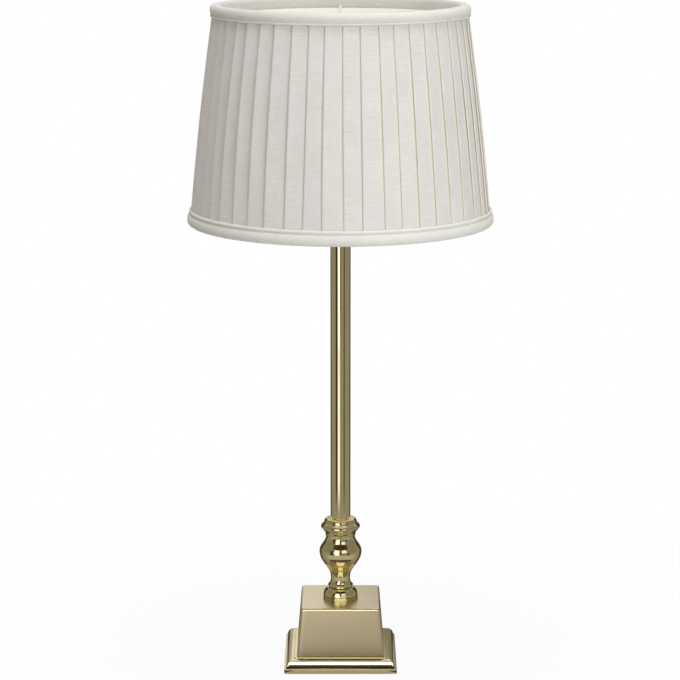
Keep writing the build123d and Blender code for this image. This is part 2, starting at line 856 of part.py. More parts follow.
nodes = {
    "felt_pad": make_felt_pad(),
    "base_plate": make_base_plate(),
    "base_screws": make_base_screws(),
    "foot_moulding": make_foot_moulding(),
    "plinth_block": make_plinth_block(),
    "cord_bush": make_cord_bush(),
    "ballast": make_ballast(),
    "rod_nut": hexagon_nut(nut_flats, rod_radius + thread_gap, rod_nut_z, nut_thick),
    "lock_washer": make_lock_washer(),
    "flat_washer": pipe(washer_radius, rod_radius + pass_gap, washer_z, ballast_z),
    "threaded_rod": make_threaded_rod(),
    "stem_foot": make_stem_foot(),
    "baluster_vase": make_baluster_vase(),
    "collar": make_collar(),
    "column_tube": pipe(tube_radius, tube_radius - tube_wall, tube_z, tube_top_z),
    "column_cap": make_column_cap(),
    "top_nut": hexagon_nut(nut_flats, rod_radius + thread_gap, cap_top_z, nut_thick),
    "holder_cap": make_holder_cap(),
    "holder_grub_screw": make_holder_grub_screw(),
    "holder_core": make_holder_core(),
    "centre_contact": make_centre_contact(),
    "side_contact": make_side_contact(),
    "screw_shell": make_screw_shell(),
    "holder_shell": make_holder_shell(),
    "shade_ring": make_shade_ring(),
    "bulb_tip": make_bulb_tip(),
    "bulb_insulator": make_bulb_insulator(),
    "bulb_screw_cap": make_bulb_screw_cap(),
    "bulb_housing": make_bulb_housing(),
    "bulb_globe": make_bulb_globe(),
    "fitter_ring": pipe(fitter_outer_radius, fitter_hole_radius, fitter_z, fitter_top_z),
    "top_wire_ring": wire_ring(top_ring_z),
    "bottom_wire_ring": wire_ring(bottom_ring_z),
    "pleated_cover": make_pleated_cover(),
    "shade_lining": make_shade_lining(),
    "top_binding": make_top_binding(),
    "bottom_binding": make_bottom_binding(),
}
for i in range(arm_count):
    nodes[f"fitter_arm_{i + 1}"] = make_fitter_arm(i)
for i in range(strut_count):
    nodes[f"strut_{i + 1}"] = make_strut(i)

os.makedirs("parts", exist_ok=True)
for name, solid in nodes.items():
    export_step(solid, f"parts/{name}.step")
print(len(nodes), "nodes, height", round(max(s.bounding_box().max.Z for s in nodes.values()), 2))
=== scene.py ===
# %% [markdown]
# # A candlestick lamp
#
# The lamp is already built as a frame of exact solids, and this lesson dresses that frame.
# The brass is drawn again as fine turned and mitred surfaces, the shade as real folded
# cloth, and every surface gets a finish made of nodes. All sizes are in metres, +Z is up
# and the front looks along -Y.

# %% Load the frame
import json
import math

import bpy
import numpy as np
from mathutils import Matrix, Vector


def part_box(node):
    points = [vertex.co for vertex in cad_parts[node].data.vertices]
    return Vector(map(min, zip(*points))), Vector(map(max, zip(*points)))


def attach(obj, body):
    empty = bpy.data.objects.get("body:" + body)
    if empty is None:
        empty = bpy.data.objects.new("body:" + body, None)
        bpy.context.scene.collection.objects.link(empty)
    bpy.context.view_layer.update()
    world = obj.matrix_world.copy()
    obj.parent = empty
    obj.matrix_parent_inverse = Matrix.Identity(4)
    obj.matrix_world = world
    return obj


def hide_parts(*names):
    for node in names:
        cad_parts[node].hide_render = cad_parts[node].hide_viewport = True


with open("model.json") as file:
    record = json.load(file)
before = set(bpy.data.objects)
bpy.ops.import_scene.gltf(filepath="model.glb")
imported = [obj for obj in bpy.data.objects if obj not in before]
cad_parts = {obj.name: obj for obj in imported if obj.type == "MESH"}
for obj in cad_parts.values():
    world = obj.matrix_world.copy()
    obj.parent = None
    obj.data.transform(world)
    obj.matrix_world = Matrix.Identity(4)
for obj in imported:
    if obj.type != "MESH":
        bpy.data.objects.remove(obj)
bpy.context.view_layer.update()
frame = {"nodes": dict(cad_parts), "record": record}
nodes = frame["nodes"]
MM = 0.001
rng = np.random.default_rng(11)
print("nodes in the frame:", len(nodes))

# %% [markdown]
# ## Surfaces from arrays
#
# A turned piece is one outline carried round an axis, and a mitred piece is one outline
# carried round a square. Both are grids of points: a row for each place on the outline,
# a column for each step of the way round. A spin or a sweep in the editor would make them
# too, but a formula puts each point where it belongs, and one helper turns any such grid
# into a mesh.

# %% A mesh from a grid of points


def grid_quads(rows, columns, wrap_rows, wrap_columns):
    """Corners of each quad: (i, j), (i, j+1), (i+1, j+1) and (i+1, j), counted round where it wraps."""
    i = np.arange(rows if wrap_rows else rows - 1)[:, None]
    j = np.arange(columns if wrap_columns else columns - 1)[None, :]
    below = (i + 1) % rows
    beside = (j + 1) % columns
    corners = [i * columns + j, i * columns + beside, below * columns + beside, below * columns + j]
    return np.stack(corners, axis=-1).reshape(-1, 4)


def volume_of(points, quads):
    """Signed volume: the sum over all quads of a . (b x c) for its two triangles, over six."""
    a, b, c, d = (points[quads[:, k]] for k in range(4))
    return float((a * np.cross(b, c)).sum() + (a * np.cross(c, d)).sum()) / 6


def new_piece(name, grid, body, finish, wrap_rows=True, wrap_columns=True, uv=None):
    """A smooth piece from a grid of points (rows, columns, 3), facing outwards, riding on a body."""
    rows, columns = grid.shape[:2]
    points = grid.reshape(-1, 3)
    quads = grid_quads(rows, columns, wrap_rows, wrap_columns)
    if volume_of(points, quads) < 0:
        quads = quads[:, ::-1]
    mesh = bpy.data.meshes.new(name)
    mesh.vertices.add(len(points))
    mesh.vertices.foreach_set("co", points.astype(np.float32).ravel())
    mesh.loops.add(quads.size)
    mesh.loops.foreach_set("vertex_index", quads.astype(np.int32).ravel())
    mesh.polygons.add(len(quads))
    mesh.polygons.foreach_set("loop_start", np.arange(0, quads.size, 4, dtype=np.int32))
    mesh.update(calc_edges=True)
    mesh.polygons.foreach_set("use_smooth", np.ones(len(quads), dtype=bool))
    if uv is not None:
        layer = mesh.uv_layers.new(name="UVMap")
        layer.data.foreach_set("uv", uv.reshape(-1, 2)[quads.ravel()].astype(np.float32).ravel())
    mesh.materials.append(finish)
    piece = bpy.data.objects.new(name, mesh)
    bpy.context.scene.collection.objects.link(piece)
    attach(piece, body)
    print(name, len(points), "points")
    return piece


print("a grid of 3 by 4 points has", len(grid_quads(3, 4, False, False)), "quads")

# %% [markdown]
# Polished metal shows every edge as a thin line of light, so no edge may be sharp. A bevel
# modifier would round them, but here it is simpler to round the outline before it is
# carried round: each corner becomes a small curve, and a holding point before and after it
# keeps the flats flat when the surface is shaded smooth.

# %% Outlines
SAME_POINT = 1e-4  # mm


def bezier(a, b, c, d, steps=24):
    """Points at (1-t)^3 a + 3(1-t)^2 t b + 3(1-t) t^2 c + t^3 d."""
    t = np.linspace(0, 1, steps)[:, None]
    a, b, c, d = (np.asarray(p, dtype=float) for p in (a, b, c, d))
    return (1 - t) ** 3 * a + 3 * (1 - t) ** 2 * t * b + 3 * (1 - t) * t**2 * c + t**3 * d


def bow(a, middle, b, steps=16):
    """The parabola through three points: it passes the middle one at t = 1/2."""
    t = np.linspace(0, 1, steps)[:, None]
    a, middle, b = (np.asarray(p, dtype=float) for p in (a, middle, b))
    control = 2 * middle - (a + b) / 2
    return (1 - t) ** 2 * a + 2 * (1 - t) * t * control + t**2 * b


def joined(*stretches):
    """One outline from points and runs of points, without repeats."""
    points = np.vstack([np.atleast_2d(np.asarray(s, dtype=float)) for s in stretches])
    gaps = np.linalg.norm(points - np.roll(points, 1, axis=0), axis=1)
    return points[gaps > SAME_POINT]


def soft_corners(outline, radius, steps=5, most=0.3, hold=1.5):
    """Each corner p of a closed outline becomes the curve from p - r u to p + r v.

    u and v are the ways in and out of the corner, and r is the radius, or the share called
    most of the shorter side there if that is less. The holding points are hold times r away.
    """
    before = outline - np.roll(outline, 1, axis=0)
    after = np.roll(outline, -1, axis=0) - outline
    long_before = np.linalg.norm(before, axis=1, keepdims=True)
    long_after = np.linalg.norm(after, axis=1, keepdims=True)
    reach = np.minimum(radius, most * np.minimum(long_before, long_after))
    start = outline - reach * before / long_before
    end = outline + reach * after / long_after
    t = np.linspace(0, 1, steps)[None, :, None]
    curve = (1 - t) ** 2 * start[:, None] + 2 * (1 - t) * t * outline[:, None] + t**2 * end[:, None]
    hold_in = (outline - hold * reach * before / long_before)[:, None]
    hold_out = (outline + hold * reach * after / long_after)[:, None]
    return np.concatenate([hold_in, curve, hold_out], axis=1).reshape(-1, 2)


def ring_points(reach, angle, height):
    """Points at a reach from the Z axis: (reach cos angle, reach sin angle, height)."""
    return np.stack(np.broadcast_arrays(reach * np.cos(angle), reach * np.sin(angle), height), axis=-1)


def turned(outline, steps=128):
    """The outline (radius, height) in mm carried round the Z axis: (r cos a, r sin a, z)."""
    angle = np.linspace(0, 2 * np.pi, steps, endpoint=False)
    return ring_points(outline[:, :1] * MM, angle, outline[:, 1:] * MM)


def mitred(outline, corner, steps=6, most=0.8, hold=0.6):
    """The outline (half-width, height) in mm carried round a square with round corners.

    A corner's middle is at (h - c, h - c), and its points at that plus c (cos a, sin a), with
    c the corner's radius or most of the half-width h. The holding points are hold times c off.
    """
    sweep = np.linspace(0, np.pi / 2, steps)
    bend = np.stack([np.cos(sweep), np.sin(sweep)], axis=-1)
    half = outline[:, 0][:, None, None]
    tight = np.minimum(corner, most * half)
    place = half - tight + tight * bend[None]
    off = hold * tight
    first = np.concatenate([place[:, :1, :1], place[:, :1, 1:] - off], axis=-1)
    last = np.concatenate([place[:, -1:, :1] - off, place[:, -1:, 1:]], axis=-1)
    quarter = np.concatenate([first, place, last], axis=1)
    x, y = quarter[..., 0], quarter[..., 1]
    ring_x = np.concatenate([x, -y, -x, y], axis=1)
    ring_y = np.concatenate([y, x, -y, -x], axis=1)
    height = np.repeat(outline[:, 1][:, None], ring_x.shape[1], axis=1)
    return np.stack([ring_x, ring_y, height], axis=-1) * MM


square = np.array([(1.0, -1.0), (1.0, 1.0), (-1.0, 1.0), (-1.0, -1.0)])
print("a square with soft corners has", len(soft_corners(square, 0.2)), "points")

# %% [markdown]
# ## Finishes
#
# A finish is a small tree of nodes, which could be drawn by hand in the shader editor.
# Written as a script, the same few habits come back in every finish, so a short class
# keeps the code down to a line for each node: its kind, its settings and what goes in.

# %% A short way to write nodes


class Tree:
    """Adds nodes to a node tree and links them."""

    def __init__(self, tree):
        self.tree = tree

    def feed(self, socket, value):
        """Gives an input what it takes: a link from another socket, or a plain value."""
        if isinstance(value, bpy.types.NodeSocket):
            self.tree.links.new(value, socket)
        else:
            socket.default_value = value

    def add(self, kind, inputs=None, **settings):
        """A node, with its settings, and its inputs by name or number."""
        node = self.tree.nodes.new(kind)
        for key, value in settings.items():
            setattr(node, key, value)
        for key, value in (inputs or {}).items():
            self.feed(node.inputs[key], value)
        return node

    def place(self):
        """The point's place on its own object."""
        return self.add("ShaderNodeTexCoord").outputs["Object"]

    def kept(self, name):
        """The number that the mesh keeps for each point under a name."""
        return self.add("ShaderNodeAttribute", attribute_name=name).outputs["Fac"]

    def math(self, operation, a, b=0.0):
        """The result of one sum or product."""
        return self.add("ShaderNodeMath", {0: a, 1: b}, operation=operation).outputs[0]

    def blend(self, a, share_a, b, share_b):
        """Two values, each times its share, added up."""
        return self.math("ADD", self.math("MULTIPLY", a, share_a), self.math("MULTIPLY", b, share_b))

    def mix(self, factor, a, b):
        """Colour a where the factor is 0 and b where it is 1."""
        return self.add("ShaderNodeMix", {0: factor, 6: a, 7: b}, data_type="RGBA").outputs[2]

    def noise(self, vector, scale, detail=3.0):
        """Soft noise from 0 to 1."""
        wanted = {"Vector": vector, "Scale": scale, "Detail": detail}
        return self.add("ShaderNodeTexNoise", wanted).outputs[0]

    def stretched(self, vector, size):
        """The vector times a size along each axis."""
        return self.add("ShaderNodeMapping", {"Vector": vector, "Scale": size}).outputs[0]

    def spread(self, value, low, high, first=0.0, last=1.0):
        """A value from first to last set to run from low to high."""
        return self.add("ShaderNodeMapRange", {0: value, 1: first, 2: last, 3: low, 4: high}).outputs[0]


def new_group(name, inputs, outputs):
    """An empty node group: inputs as (name, kind of socket, default), outputs as (name, kind)."""
    group = bpy.data.node_groups.new(name, "ShaderNodeTree")
    for label, kind, default in inputs:
        socket = group.interface.new_socket(label, in_out="INPUT", socket_type=kind)
        if default is not None:
            socket.default_value = default
    for label, kind in outputs:
        group.interface.new_socket(label, in_out="OUTPUT", socket_type=kind)
    tree = Tree(group)
    return group, tree, tree.add("NodeGroupInput"), tree.add("NodeGroupOutput")


def new_finish(name, **constants):
    """A material with one Principled shader; plain numbers and colours are set on its own sockets."""
    finish = bpy.data.materials.new(name)
    finish.use_nodes = True
    shader = finish.node_tree.nodes["Principled BSDF"]
    for label, value in constants.items():
        shader.inputs[label.replace("_", " ")].default_value = value
    return finish, Tree(finish.node_tree), shader


def bump(tree, shader, height, distance):
    """Raises the surface by the height, distance metres from 0 to 1."""
    node = tree.add("ShaderNodeBump", {"Height": height, "Distance": distance, "Strength": 1.0})
    tree.feed(shader.inputs["Normal"], node.outputs[0])


def colour(red, green, blue):
    """A screen colour, 0 to 255, as the linear colour that nodes take: ((c + 0.055) / 1.055) ^ 2.4."""
    screen = np.array([red, green, blue]) / 255
    linear = np.where(screen <= 0.04045, screen / 12.92, ((screen + 0.055) / 1.055) ** 2.4)
    return (*(float(c) for c in linear), 1.0)


print("a middle grey of the screen is", round(colour(128, 128, 128)[0], 3), "in linear light")

# %% [markdown]
# ### Brass
#
# The turned parts are polished and lacquered: almost a mirror, with a slight orange-peel
# in the lacquer and a few dull marks from handling. The square block is brushed instead,
# with fine straight lines along X on its top and level lines on its sides. An image could
# carry the marks, but noise needs no file and has no seam. The marks and the lines are
# groups, so that each metal takes its own share.

# %% Handling marks
PATCHES = 34.0  # dull patches per metre
RIPPLES = 420.0  # ripples of the lacquer per metre

marks, tree, given, result = new_group(
    "handling_marks",
    [("Vector", "NodeSocketVector", None), ("Amount", "NodeSocketFloat", 1.0)],
    [("Dull", "NodeSocketFloat"), ("Height", "NodeSocketFloat")],
)
smear = tree.math("POWER", tree.noise(given.outputs["Vector"], PATCHES, 4.0), 3.0)
peel = tree.noise(given.outputs["Vector"], RIPPLES, 2.0)
tree.feed(result.inputs["Dull"], tree.math("MULTIPLY", smear, given.outputs["Amount"]))
tree.feed(result.inputs["Height"], tree.math("MULTIPLY", peel, given.outputs["Amount"]))
print(marks.name, len(marks.nodes), "nodes")

# %% Brushed lines
FINE, LONG = 2600.0, 14.0  # changes per metre across a brushed line and along it

lines, tree, given, result = new_group(
    "brushed_lines",
    [("Vector", "NodeSocketVector", None), ("Top", "NodeSocketFloat", 0.0)],
    [("Line", "NodeSocketFloat"), ("Height", "NodeSocketFloat")],
)
place = given.outputs["Vector"]
level = tree.noise(tree.stretched(place, (LONG, LONG, FINE)), 1.0, 3.0)
across = tree.noise(tree.stretched(place, (LONG, FINE, LONG)), 1.0, 3.0)
side_or_top = {0: given.outputs["Top"], 2: level, 3: across}
chosen = tree.add("ShaderNodeMix", side_or_top, data_type="FLOAT").outputs[0]
broad = tree.noise(tree.stretched(place, (9.0, 9.0, 60.0)), 1.0, 2.0)
tree.feed(result.inputs["Line"], tree.blend(chosen, 0.7, broad, 0.3))
tree.feed(result.inputs["Height"], chosen)
print(lines.name, len(lines.nodes), "nodes")

# %% Polished and brushed brass
BRASS_LIGHT, BRASS_DEEP = colour(229, 213, 163), colour(213, 194, 133)
SATIN_LIGHT, SATIN_DEEP = colour(232, 216, 176), colour(206, 188, 146)
POLISHED = 0.07  # roughness
SATIN_SIDES, SATIN_TOP = 0.27, 0.26
WORN_ROUGHER = 0.12  # added to the roughness by the worst marks
SATIN_WEAR, SATIN_ROUGHER = 0.6, 0.15
PEEL_HEIGHT = 0.000004
BRUSH_DEPTH = 0.000013


def brass_finish(name, light, deep, roughness, peel_height):
    """Polished brass: colour and gloss drift a little with the handling marks."""
    finish, tree, shader = new_finish(name, Metallic=1.0)
    worn = tree.add("ShaderNodeGroup", {"Vector": tree.place(), "Amount": 1.0}, node_tree=marks)
    dull = worn.outputs["Dull"]
    tree.feed(shader.inputs["Base Color"], tree.mix(dull, light, deep))
    tree.feed(shader.inputs["Roughness"], tree.spread(dull, roughness, roughness + WORN_ROUGHER))
    bump(tree, shader, worn.outputs["Height"], peel_height)
    return finish


polished_brass = brass_finish("polished_brass", BRASS_LIGHT, BRASS_DEEP, POLISHED, PEEL_HEIGHT)

brushed_brass, tree, shader = new_finish("brushed_brass", Metallic=1.0)
place = tree.place()
top_mask = tree.kept("top")
brushed = tree.add("ShaderNodeGroup", {"Vector": place, "Top": top_mask}, node_tree=lines)
worn = tree.add("ShaderNodeGroup", {"Vector": place, "Amount": SATIN_WEAR}, node_tree=marks)
tree.feed(shader.inputs["Base Color"], tree.mix(brushed.outputs["Line"], SATIN_DEEP, SATIN_LIGHT))
satin = tree.spread(top_mask, SATIN_SIDES, SATIN_TOP)
rubbed = tree.math("MULTIPLY", worn.outputs["Dull"], SATIN_ROUGHER)
tree.feed(shader.inputs["Roughness"], tree.math("ADD", satin, rubbed))
bump(tree, shader, brushed.outputs["Height"], BRUSH_DEPTH)
print("brass finishes:", polished_brass.name, "and", brushed_brass.name)

# %% [markdown]
# ## The square base
#
# The foot is a mitred moulding, as on a picture frame: a plain band, a quarter-round and a
# thin ledge. One outline carried round the square gives the mitres by itself, where four
# strips would have to be cut and joined.

# %% Foot moulding
low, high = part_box("foot_moulding")
foot_half = high.x / MM
foot_z, ledge_z = low.z / MM, high.z / MM
plate_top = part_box("base_plate")[1].z / MM
FILLET_HEIGHT, FILLET_STEP = 4.4, 1.5
ROLL_REACH = 7.2
LEDGE_STEP, LEDGE_HEIGHT, LEDGE_BEARING = 1.3, 1.2, 5.0
FOOT_WALL = 1.9
FOOT_EDGE, FOOT_CORNER = 0.45, 1.6

fillet_top = foot_z + FILLET_HEIGHT
roll_foot = foot_half - FILLET_STEP
roll_top = roll_foot - ROLL_REACH
ledge_half = roll_top - LEDGE_STEP
roll_rise = ledge_z - LEDGE_HEIGHT - fillet_top
sweep = np.linspace(0, np.pi / 2, 28)
roll = np.stack([roll_top + ROLL_REACH * np.cos(sweep), fillet_top + roll_rise * np.sin(sweep)], axis=-1)
foot_outline = joined(
    (foot_half, foot_z),
    (foot_half, fillet_top),
    roll,
    (ledge_half, ledge_z - LEDGE_HEIGHT),
    (ledge_half, ledge_z),
    (ledge_half - LEDGE_BEARING, ledge_z),
    (ledge_half - LEDGE_BEARING, plate_top),
    (foot_half - FOOT_WALL, plate_top),
    (foot_half - FOOT_WALL, foot_z),
)
foot_grid = mitred(soft_corners(foot_outline, FOOT_EDGE), FOOT_CORNER)
foot = new_piece("foot_moulding_skin", foot_grid, "lamp_base", polished_brass)
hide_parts("foot_moulding")

# %% [markdown]
# The block on the moulding leans in by four millimetres on each side. Its upper edge is
# eased by a longer curve than the other corners get, so that it catches a line of light.
# Its top is brushed another way than its sides, so the mesh keeps a number for each
# point, 1 on the top and 0 elsewhere, which the finish reads.

# %% Plinth block
low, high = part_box("plinth_block")
block_foot, block_z, block_top = high.x / MM, low.z / MM, high.z / MM
BLOCK_DRAW_IN = 4.0
BLOCK_WALL, BLOCK_TOP_THICK = 1.5, 2.0
BLOCK_EDGE = 1.8  # how far the eased edge reaches
EDGE_PULL = 0.45  # of that, between its handles and the corner
EDGE_LEAN = 0.2  # the side's lean over the eased edge
SIDE_PLACE = 0.6  # where a point holds the side straight
HEAD_LEAN, HEAD_HOLD, TOP_HOLD = 0.32, 1.4, 1.5
ROD_HOLE = 5.3
BLOCK_SOFT, BLOCK_CORNER = 0.3, 3.4
TOP_LAYER = 0.3  # points this near to the top count as the top


def give_values(thing, name, values):
    """Keeps one number for each point of a mesh under a name, where a finish can read it."""
    layer = thing.data.attributes.new(name, "FLOAT", "POINT")
    layer.data.foreach_set("value", values.astype(np.float32).ravel())


block_head = block_foot - BLOCK_DRAW_IN
edge = bezier(
    (block_head + EDGE_LEAN, block_top - BLOCK_EDGE),
    (block_head, block_top - EDGE_PULL * BLOCK_EDGE),
    (block_head - EDGE_PULL * BLOCK_EDGE, block_top),
    (block_head - BLOCK_EDGE, block_top),
    8,
)
block_outline = joined(
    (block_foot, block_z),
    (block_foot - SIDE_PLACE * BLOCK_DRAW_IN, block_z + SIDE_PLACE * (block_top - block_z)),
    (block_head + HEAD_LEAN, block_top - BLOCK_EDGE - HEAD_HOLD),
    edge,
    (block_head - BLOCK_EDGE - TOP_HOLD, block_top),
    (2 * ROD_HOLE, block_top),
    (ROD_HOLE, block_top),
    (ROD_HOLE, block_top - BLOCK_TOP_THICK),
    (block_head - BLOCK_WALL, block_top - BLOCK_TOP_THICK),
    (block_foot - BLOCK_WALL, block_z),
)
block_grid = mitred(soft_corners(block_outline, BLOCK_SOFT, 3), BLOCK_CORNER, 9)
block = new_piece("plinth_block_skin", block_grid, "lamp_base", brushed_brass)
give_values(block, "top", block_grid[..., 2] > (block_top - TOP_LAYER) * MM)
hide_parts("plinth_block")

# %% [markdown]
# ## The turned stem
#
# The stem is stacked on a rod: a domed foot, a vase, a collar and a plain tube, each
# turned on a lathe. A spin of its outline is therefore the true way to make each one. The
# domed foot has a thin upright lip and a dome of one easy curve.

# %% Domed foot
low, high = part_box("stem_foot")
dome_radius, dome_z, vase_z = high.x / MM, low.z / MM, high.z / MM
BORE = ROD_HOLE
SEAM = 0.15  # half the fine line left open between dome and vase
LIP_HEIGHT, LIP_STEP = 1.0, 0.5
SHOULDER_IN, SHOULDER_DOWN = 0.9, 0.42  # the dome's middle: mm in from the lip, share down from the top
DOME_TOP_RADIUS = 13.2
DOME_EDGE = 0.35
dome = bow(
    (dome_radius - LIP_STEP, dome_z + LIP_HEIGHT),
    (dome_radius - SHOULDER_IN, vase_z - SHOULDER_DOWN * (vase_z - dome_z)),
    (DOME_TOP_RADIUS, vase_z - SEAM),
    20,
)
dome_outline = joined(
    (BORE, dome_z), (dome_radius, dome_z), (dome_radius, dome_z + LIP_HEIGHT), dome, (BORE, vase_z - SEAM)
)
dome_grid = turned(soft_corners(dome_outline, DOME_EDGE))
stem_foot = new_piece("stem_foot_skin", dome_grid, "lamp_base", polished_brass)
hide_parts("stem_foot")

# %% [markdown]
# The vase swells from a waist to a belly and draws in to a neck. Those are the places
# where its outline runs upright, so each stretch between two of them is one Bezier curve
# with upright handles: it passes each place smoothly, and only radii and heights are
# needed to set it.

# %% Baluster vase
collar_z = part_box("collar")[0].z / MM
FLARE_RADIUS, FLARE_RISE = 12.6, 2.6
FLARE_STEP, FLARE_SWELL, FLARE_MIDDLE = 0.6, 0.15, 1.3
WAIST_RADIUS, WAIST_RISE = 9.65, 9.7
BELLY_RADIUS, BELLY_RISE = 21.2, 37.7
NECK_RADIUS, NECK_RISE = 14.6, 53.3
COVE_IN, COVE_UP, COVE_END = 1.6, 1.4, 4.3  # handles of the cove above the flared foot
COLLAR_FOOT = 15.2
COLLAR_SEAM = 0.12
VASE_EDGE = 0.3


def upright(radius_a, rise_a, radius_b, rise_b, handle_a, handle_b, steps):
    """A Bezier curve between two upright places; the handles are shares of the rise between them."""
    rise = rise_b - rise_a
    return bezier(
        (radius_a, vase_z + rise_a),
        (radius_a, vase_z + rise_a + handle_a * rise),
        (radius_b, vase_z + rise_b - handle_b * rise),
        (radius_b, vase_z + rise_b),
        steps,
    )


flare = bow(
    (FLARE_RADIUS - FLARE_STEP, vase_z + SEAM),
    (FLARE_RADIUS - FLARE_SWELL, vase_z + FLARE_MIDDLE),
    (FLARE_RADIUS, vase_z + FLARE_RISE),
    8,
)
cove = bezier(
    (FLARE_RADIUS, vase_z + FLARE_RISE),
    (FLARE_RADIUS - COVE_IN, vase_z + FLARE_RISE + COVE_UP),
    (WAIST_RADIUS, vase_z + WAIST_RISE - COVE_END),
    (WAIST_RADIUS, vase_z + WAIST_RISE),
)
vase_outline = joined(
    (BORE, vase_z + SEAM),
    flare,
    cove,
    upright(WAIST_RADIUS, WAIST_RISE, BELLY_RADIUS, BELLY_RISE, 0.43, 0.43, 40),
    upright(BELLY_RADIUS, BELLY_RISE, NECK_RADIUS, NECK_RISE, 0.40, 0.38, 30),
    (COLLAR_FOOT, collar_z - COLLAR_SEAM),
    (BORE, collar_z - COLLAR_SEAM),
)
vase_grid = turned(soft_corners(vase_outline, VASE_EDGE, 3))
vase = new_piece("baluster_vase_skin", vase_grid, "lamp_base", polished_brass)
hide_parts("baluster_vase")

# %% [markdown]
# The collar hides the joint of vase and tube: a hollow curve, a rounded flange and a
# bead that dishes in towards the tube. Each of the three is one curve of its own, and they
# meet in corners, which stay crisp on the real piece.

# %% Collar
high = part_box("collar")[1]
flange_radius, collar_top = high.x / MM, high.z / MM
tube_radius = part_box("column_tube")[1].x / MM
FLANGE_RISE, FLANGE_HALF, FLANGE_DROP = 8.1, 2.8, 2.5
FLANGE_FOOT_IN, FLANGE_TOP_IN = 1.5, 2.0
BEAD_RADIUS, BEAD_RISE, BEAD_TOP = 16.4, 12.0, 13.4
BEAD_DISH, BEAD_LIFT = 0.7, 0.5
HOLLOW_OUT, HOLLOW_UP, HOLLOW_IN, HOLLOW_DOWN = 0.3, 2.6, 0.7, 1.6  # handles of the hollow curve
RECESS, TUBE_GAP = 2.0, 0.05
COLLAR_EDGE = 0.3

collar_foot_z = collar_z + COLLAR_SEAM
bore_z = collar_z + BEAD_RISE
widest = collar_z + FLANGE_RISE
flange_foot = (flange_radius - FLANGE_FOOT_IN, widest - FLANGE_DROP)
cove = bezier(
    (COLLAR_FOOT, collar_foot_z),
    (COLLAR_FOOT + HOLLOW_OUT, collar_z + HOLLOW_UP),
    (flange_foot[0] - HOLLOW_IN, flange_foot[1] - HOLLOW_DOWN),
    flange_foot,
    12,
)
flange = bow(flange_foot, (flange_radius, widest), (flange_radius - FLANGE_TOP_IN, widest + FLANGE_HALF), 16)
bead_middle = (BEAD_RADIUS - BEAD_DISH, (bore_z + collar_top) / 2 + BEAD_LIFT)
bead = bow((BEAD_RADIUS, bore_z), bead_middle, (BEAD_TOP, collar_top), 14)
collar_outline = joined(
    (BORE, collar_foot_z),
    cove,
    flange,
    bead,
    (tube_radius + TUBE_GAP, collar_top - RECESS),
    (tube_radius + TUBE_GAP, bore_z),
    (BORE, bore_z),
)
collar_grid = turned(soft_corners(collar_outline, COLLAR_EDGE))
collar = new_piece("collar_skin", collar_grid, "lamp_base", polished_brass)
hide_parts("collar")

# %% [markdown]
# The tube is drawn metal of the same brass, straight and without taper. It is turned like
# the rest, from a long thin outline, so that its ends get soft corners as well.

# %% Column tube
low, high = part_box("column_tube")
TUBE_WALL, TUBE_EDGE = 1.0, 0.15
tube_bore = tube_radius - TUBE_WALL
tube_outline = joined(
    (tube_radius, low.z / MM), (tube_radius, high.z / MM), (tube_bore, high.z / MM), (tube_bore, low.z / MM)
)
tube_grid = turned(soft_corners(tube_outline, TUBE_EDGE, 3))
tube = new_piece("column_tube_skin", tube_grid, "lamp_base", polished_brass)
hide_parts("column_tube")

# %% [markdown]
# ## Cloth
#
# The shade is plain linen: thick and thin threads, over and under. A photograph of cloth
# would repeat and need a file, so the weave is worked out from two sine waves and a
# stretched noise. It is drawn on the piece's own UV map, which is laid out in metres, so a
# thread is as wide on the cover as on the bindings.

# %% Linen weave
THREAD = 0.0006  # from one thread to the next
SLUB_ACROSS, SLUB_ALONG = 1500.0, 60.0  # thick and thin places per metre, across a thread and along it
DRIFT = 22.0  # slow changes of tone per metre

weave, tree, given, result = new_group(
    "linen_weave",
    [("Vector", "NodeSocketVector", None), ("Thread", "NodeSocketFloat", THREAD)],
    [("Tone", "NodeSocketFloat"), ("Height", "NodeSocketFloat")],
)
flat = given.outputs["Vector"]
apart = tree.add("ShaderNodeSeparateXYZ", {0: flat})
turns = tree.math("DIVIDE", math.pi, given.outputs["Thread"])
along = tree.math("SINE", tree.math("MULTIPLY", apart.outputs[0], turns))
over = tree.math("SINE", tree.math("MULTIPLY", apart.outputs[1], turns))
knit = tree.spread(tree.math("MULTIPLY", along, over), 0.5, 1.0)
warp_slub = tree.noise(tree.stretched(flat, (SLUB_ACROSS, SLUB_ALONG, 1.0)), 1.0, 2.0)
weft_slub = tree.noise(tree.stretched(flat, (SLUB_ALONG, SLUB_ACROSS, 1.0)), 1.0, 2.0)
slub = tree.blend(warp_slub, 0.35, weft_slub, 0.65)
tree.feed(result.inputs["Tone"], tree.blend(slub, 0.75, tree.noise(flat, DRIFT, 3.0), 0.25))
tree.feed(result.inputs["Height"], tree.blend(knit, 0.35, slub, 0.9))
print(weave.name, len(weave.nodes), "nodes")

# %% [markdown]
# Where a pleat is tucked in, the light reaches it through more cloth and comes out warmer,
# and the fold lies in shade, so the mesh keeps a number for that too, and the finish paints
# that warm light and shade into the cloth's colour there. The bindings are cut on the bias,
# and their weave is turned by 45 degrees. Daylight comes through the linen and lights the
# inside of the shade. Cloth that lets light through renders slowly, so the lining gives off
# a little light of its own instead.

# %% Linen finishes
# painted light and shade: the warm colour that stands in for light through the folds and their shade
PAINTED_TUCK_SHADE = colour(236, 232, 211)
TUCK_SHADE_SHARE = 0.8
BIAS = math.radians(45)
WEAVE_RISE = 0.00012
LINING_THREAD, LINING_RISE = 0.0004, 0.00005
LINING_GLOW = 0.3


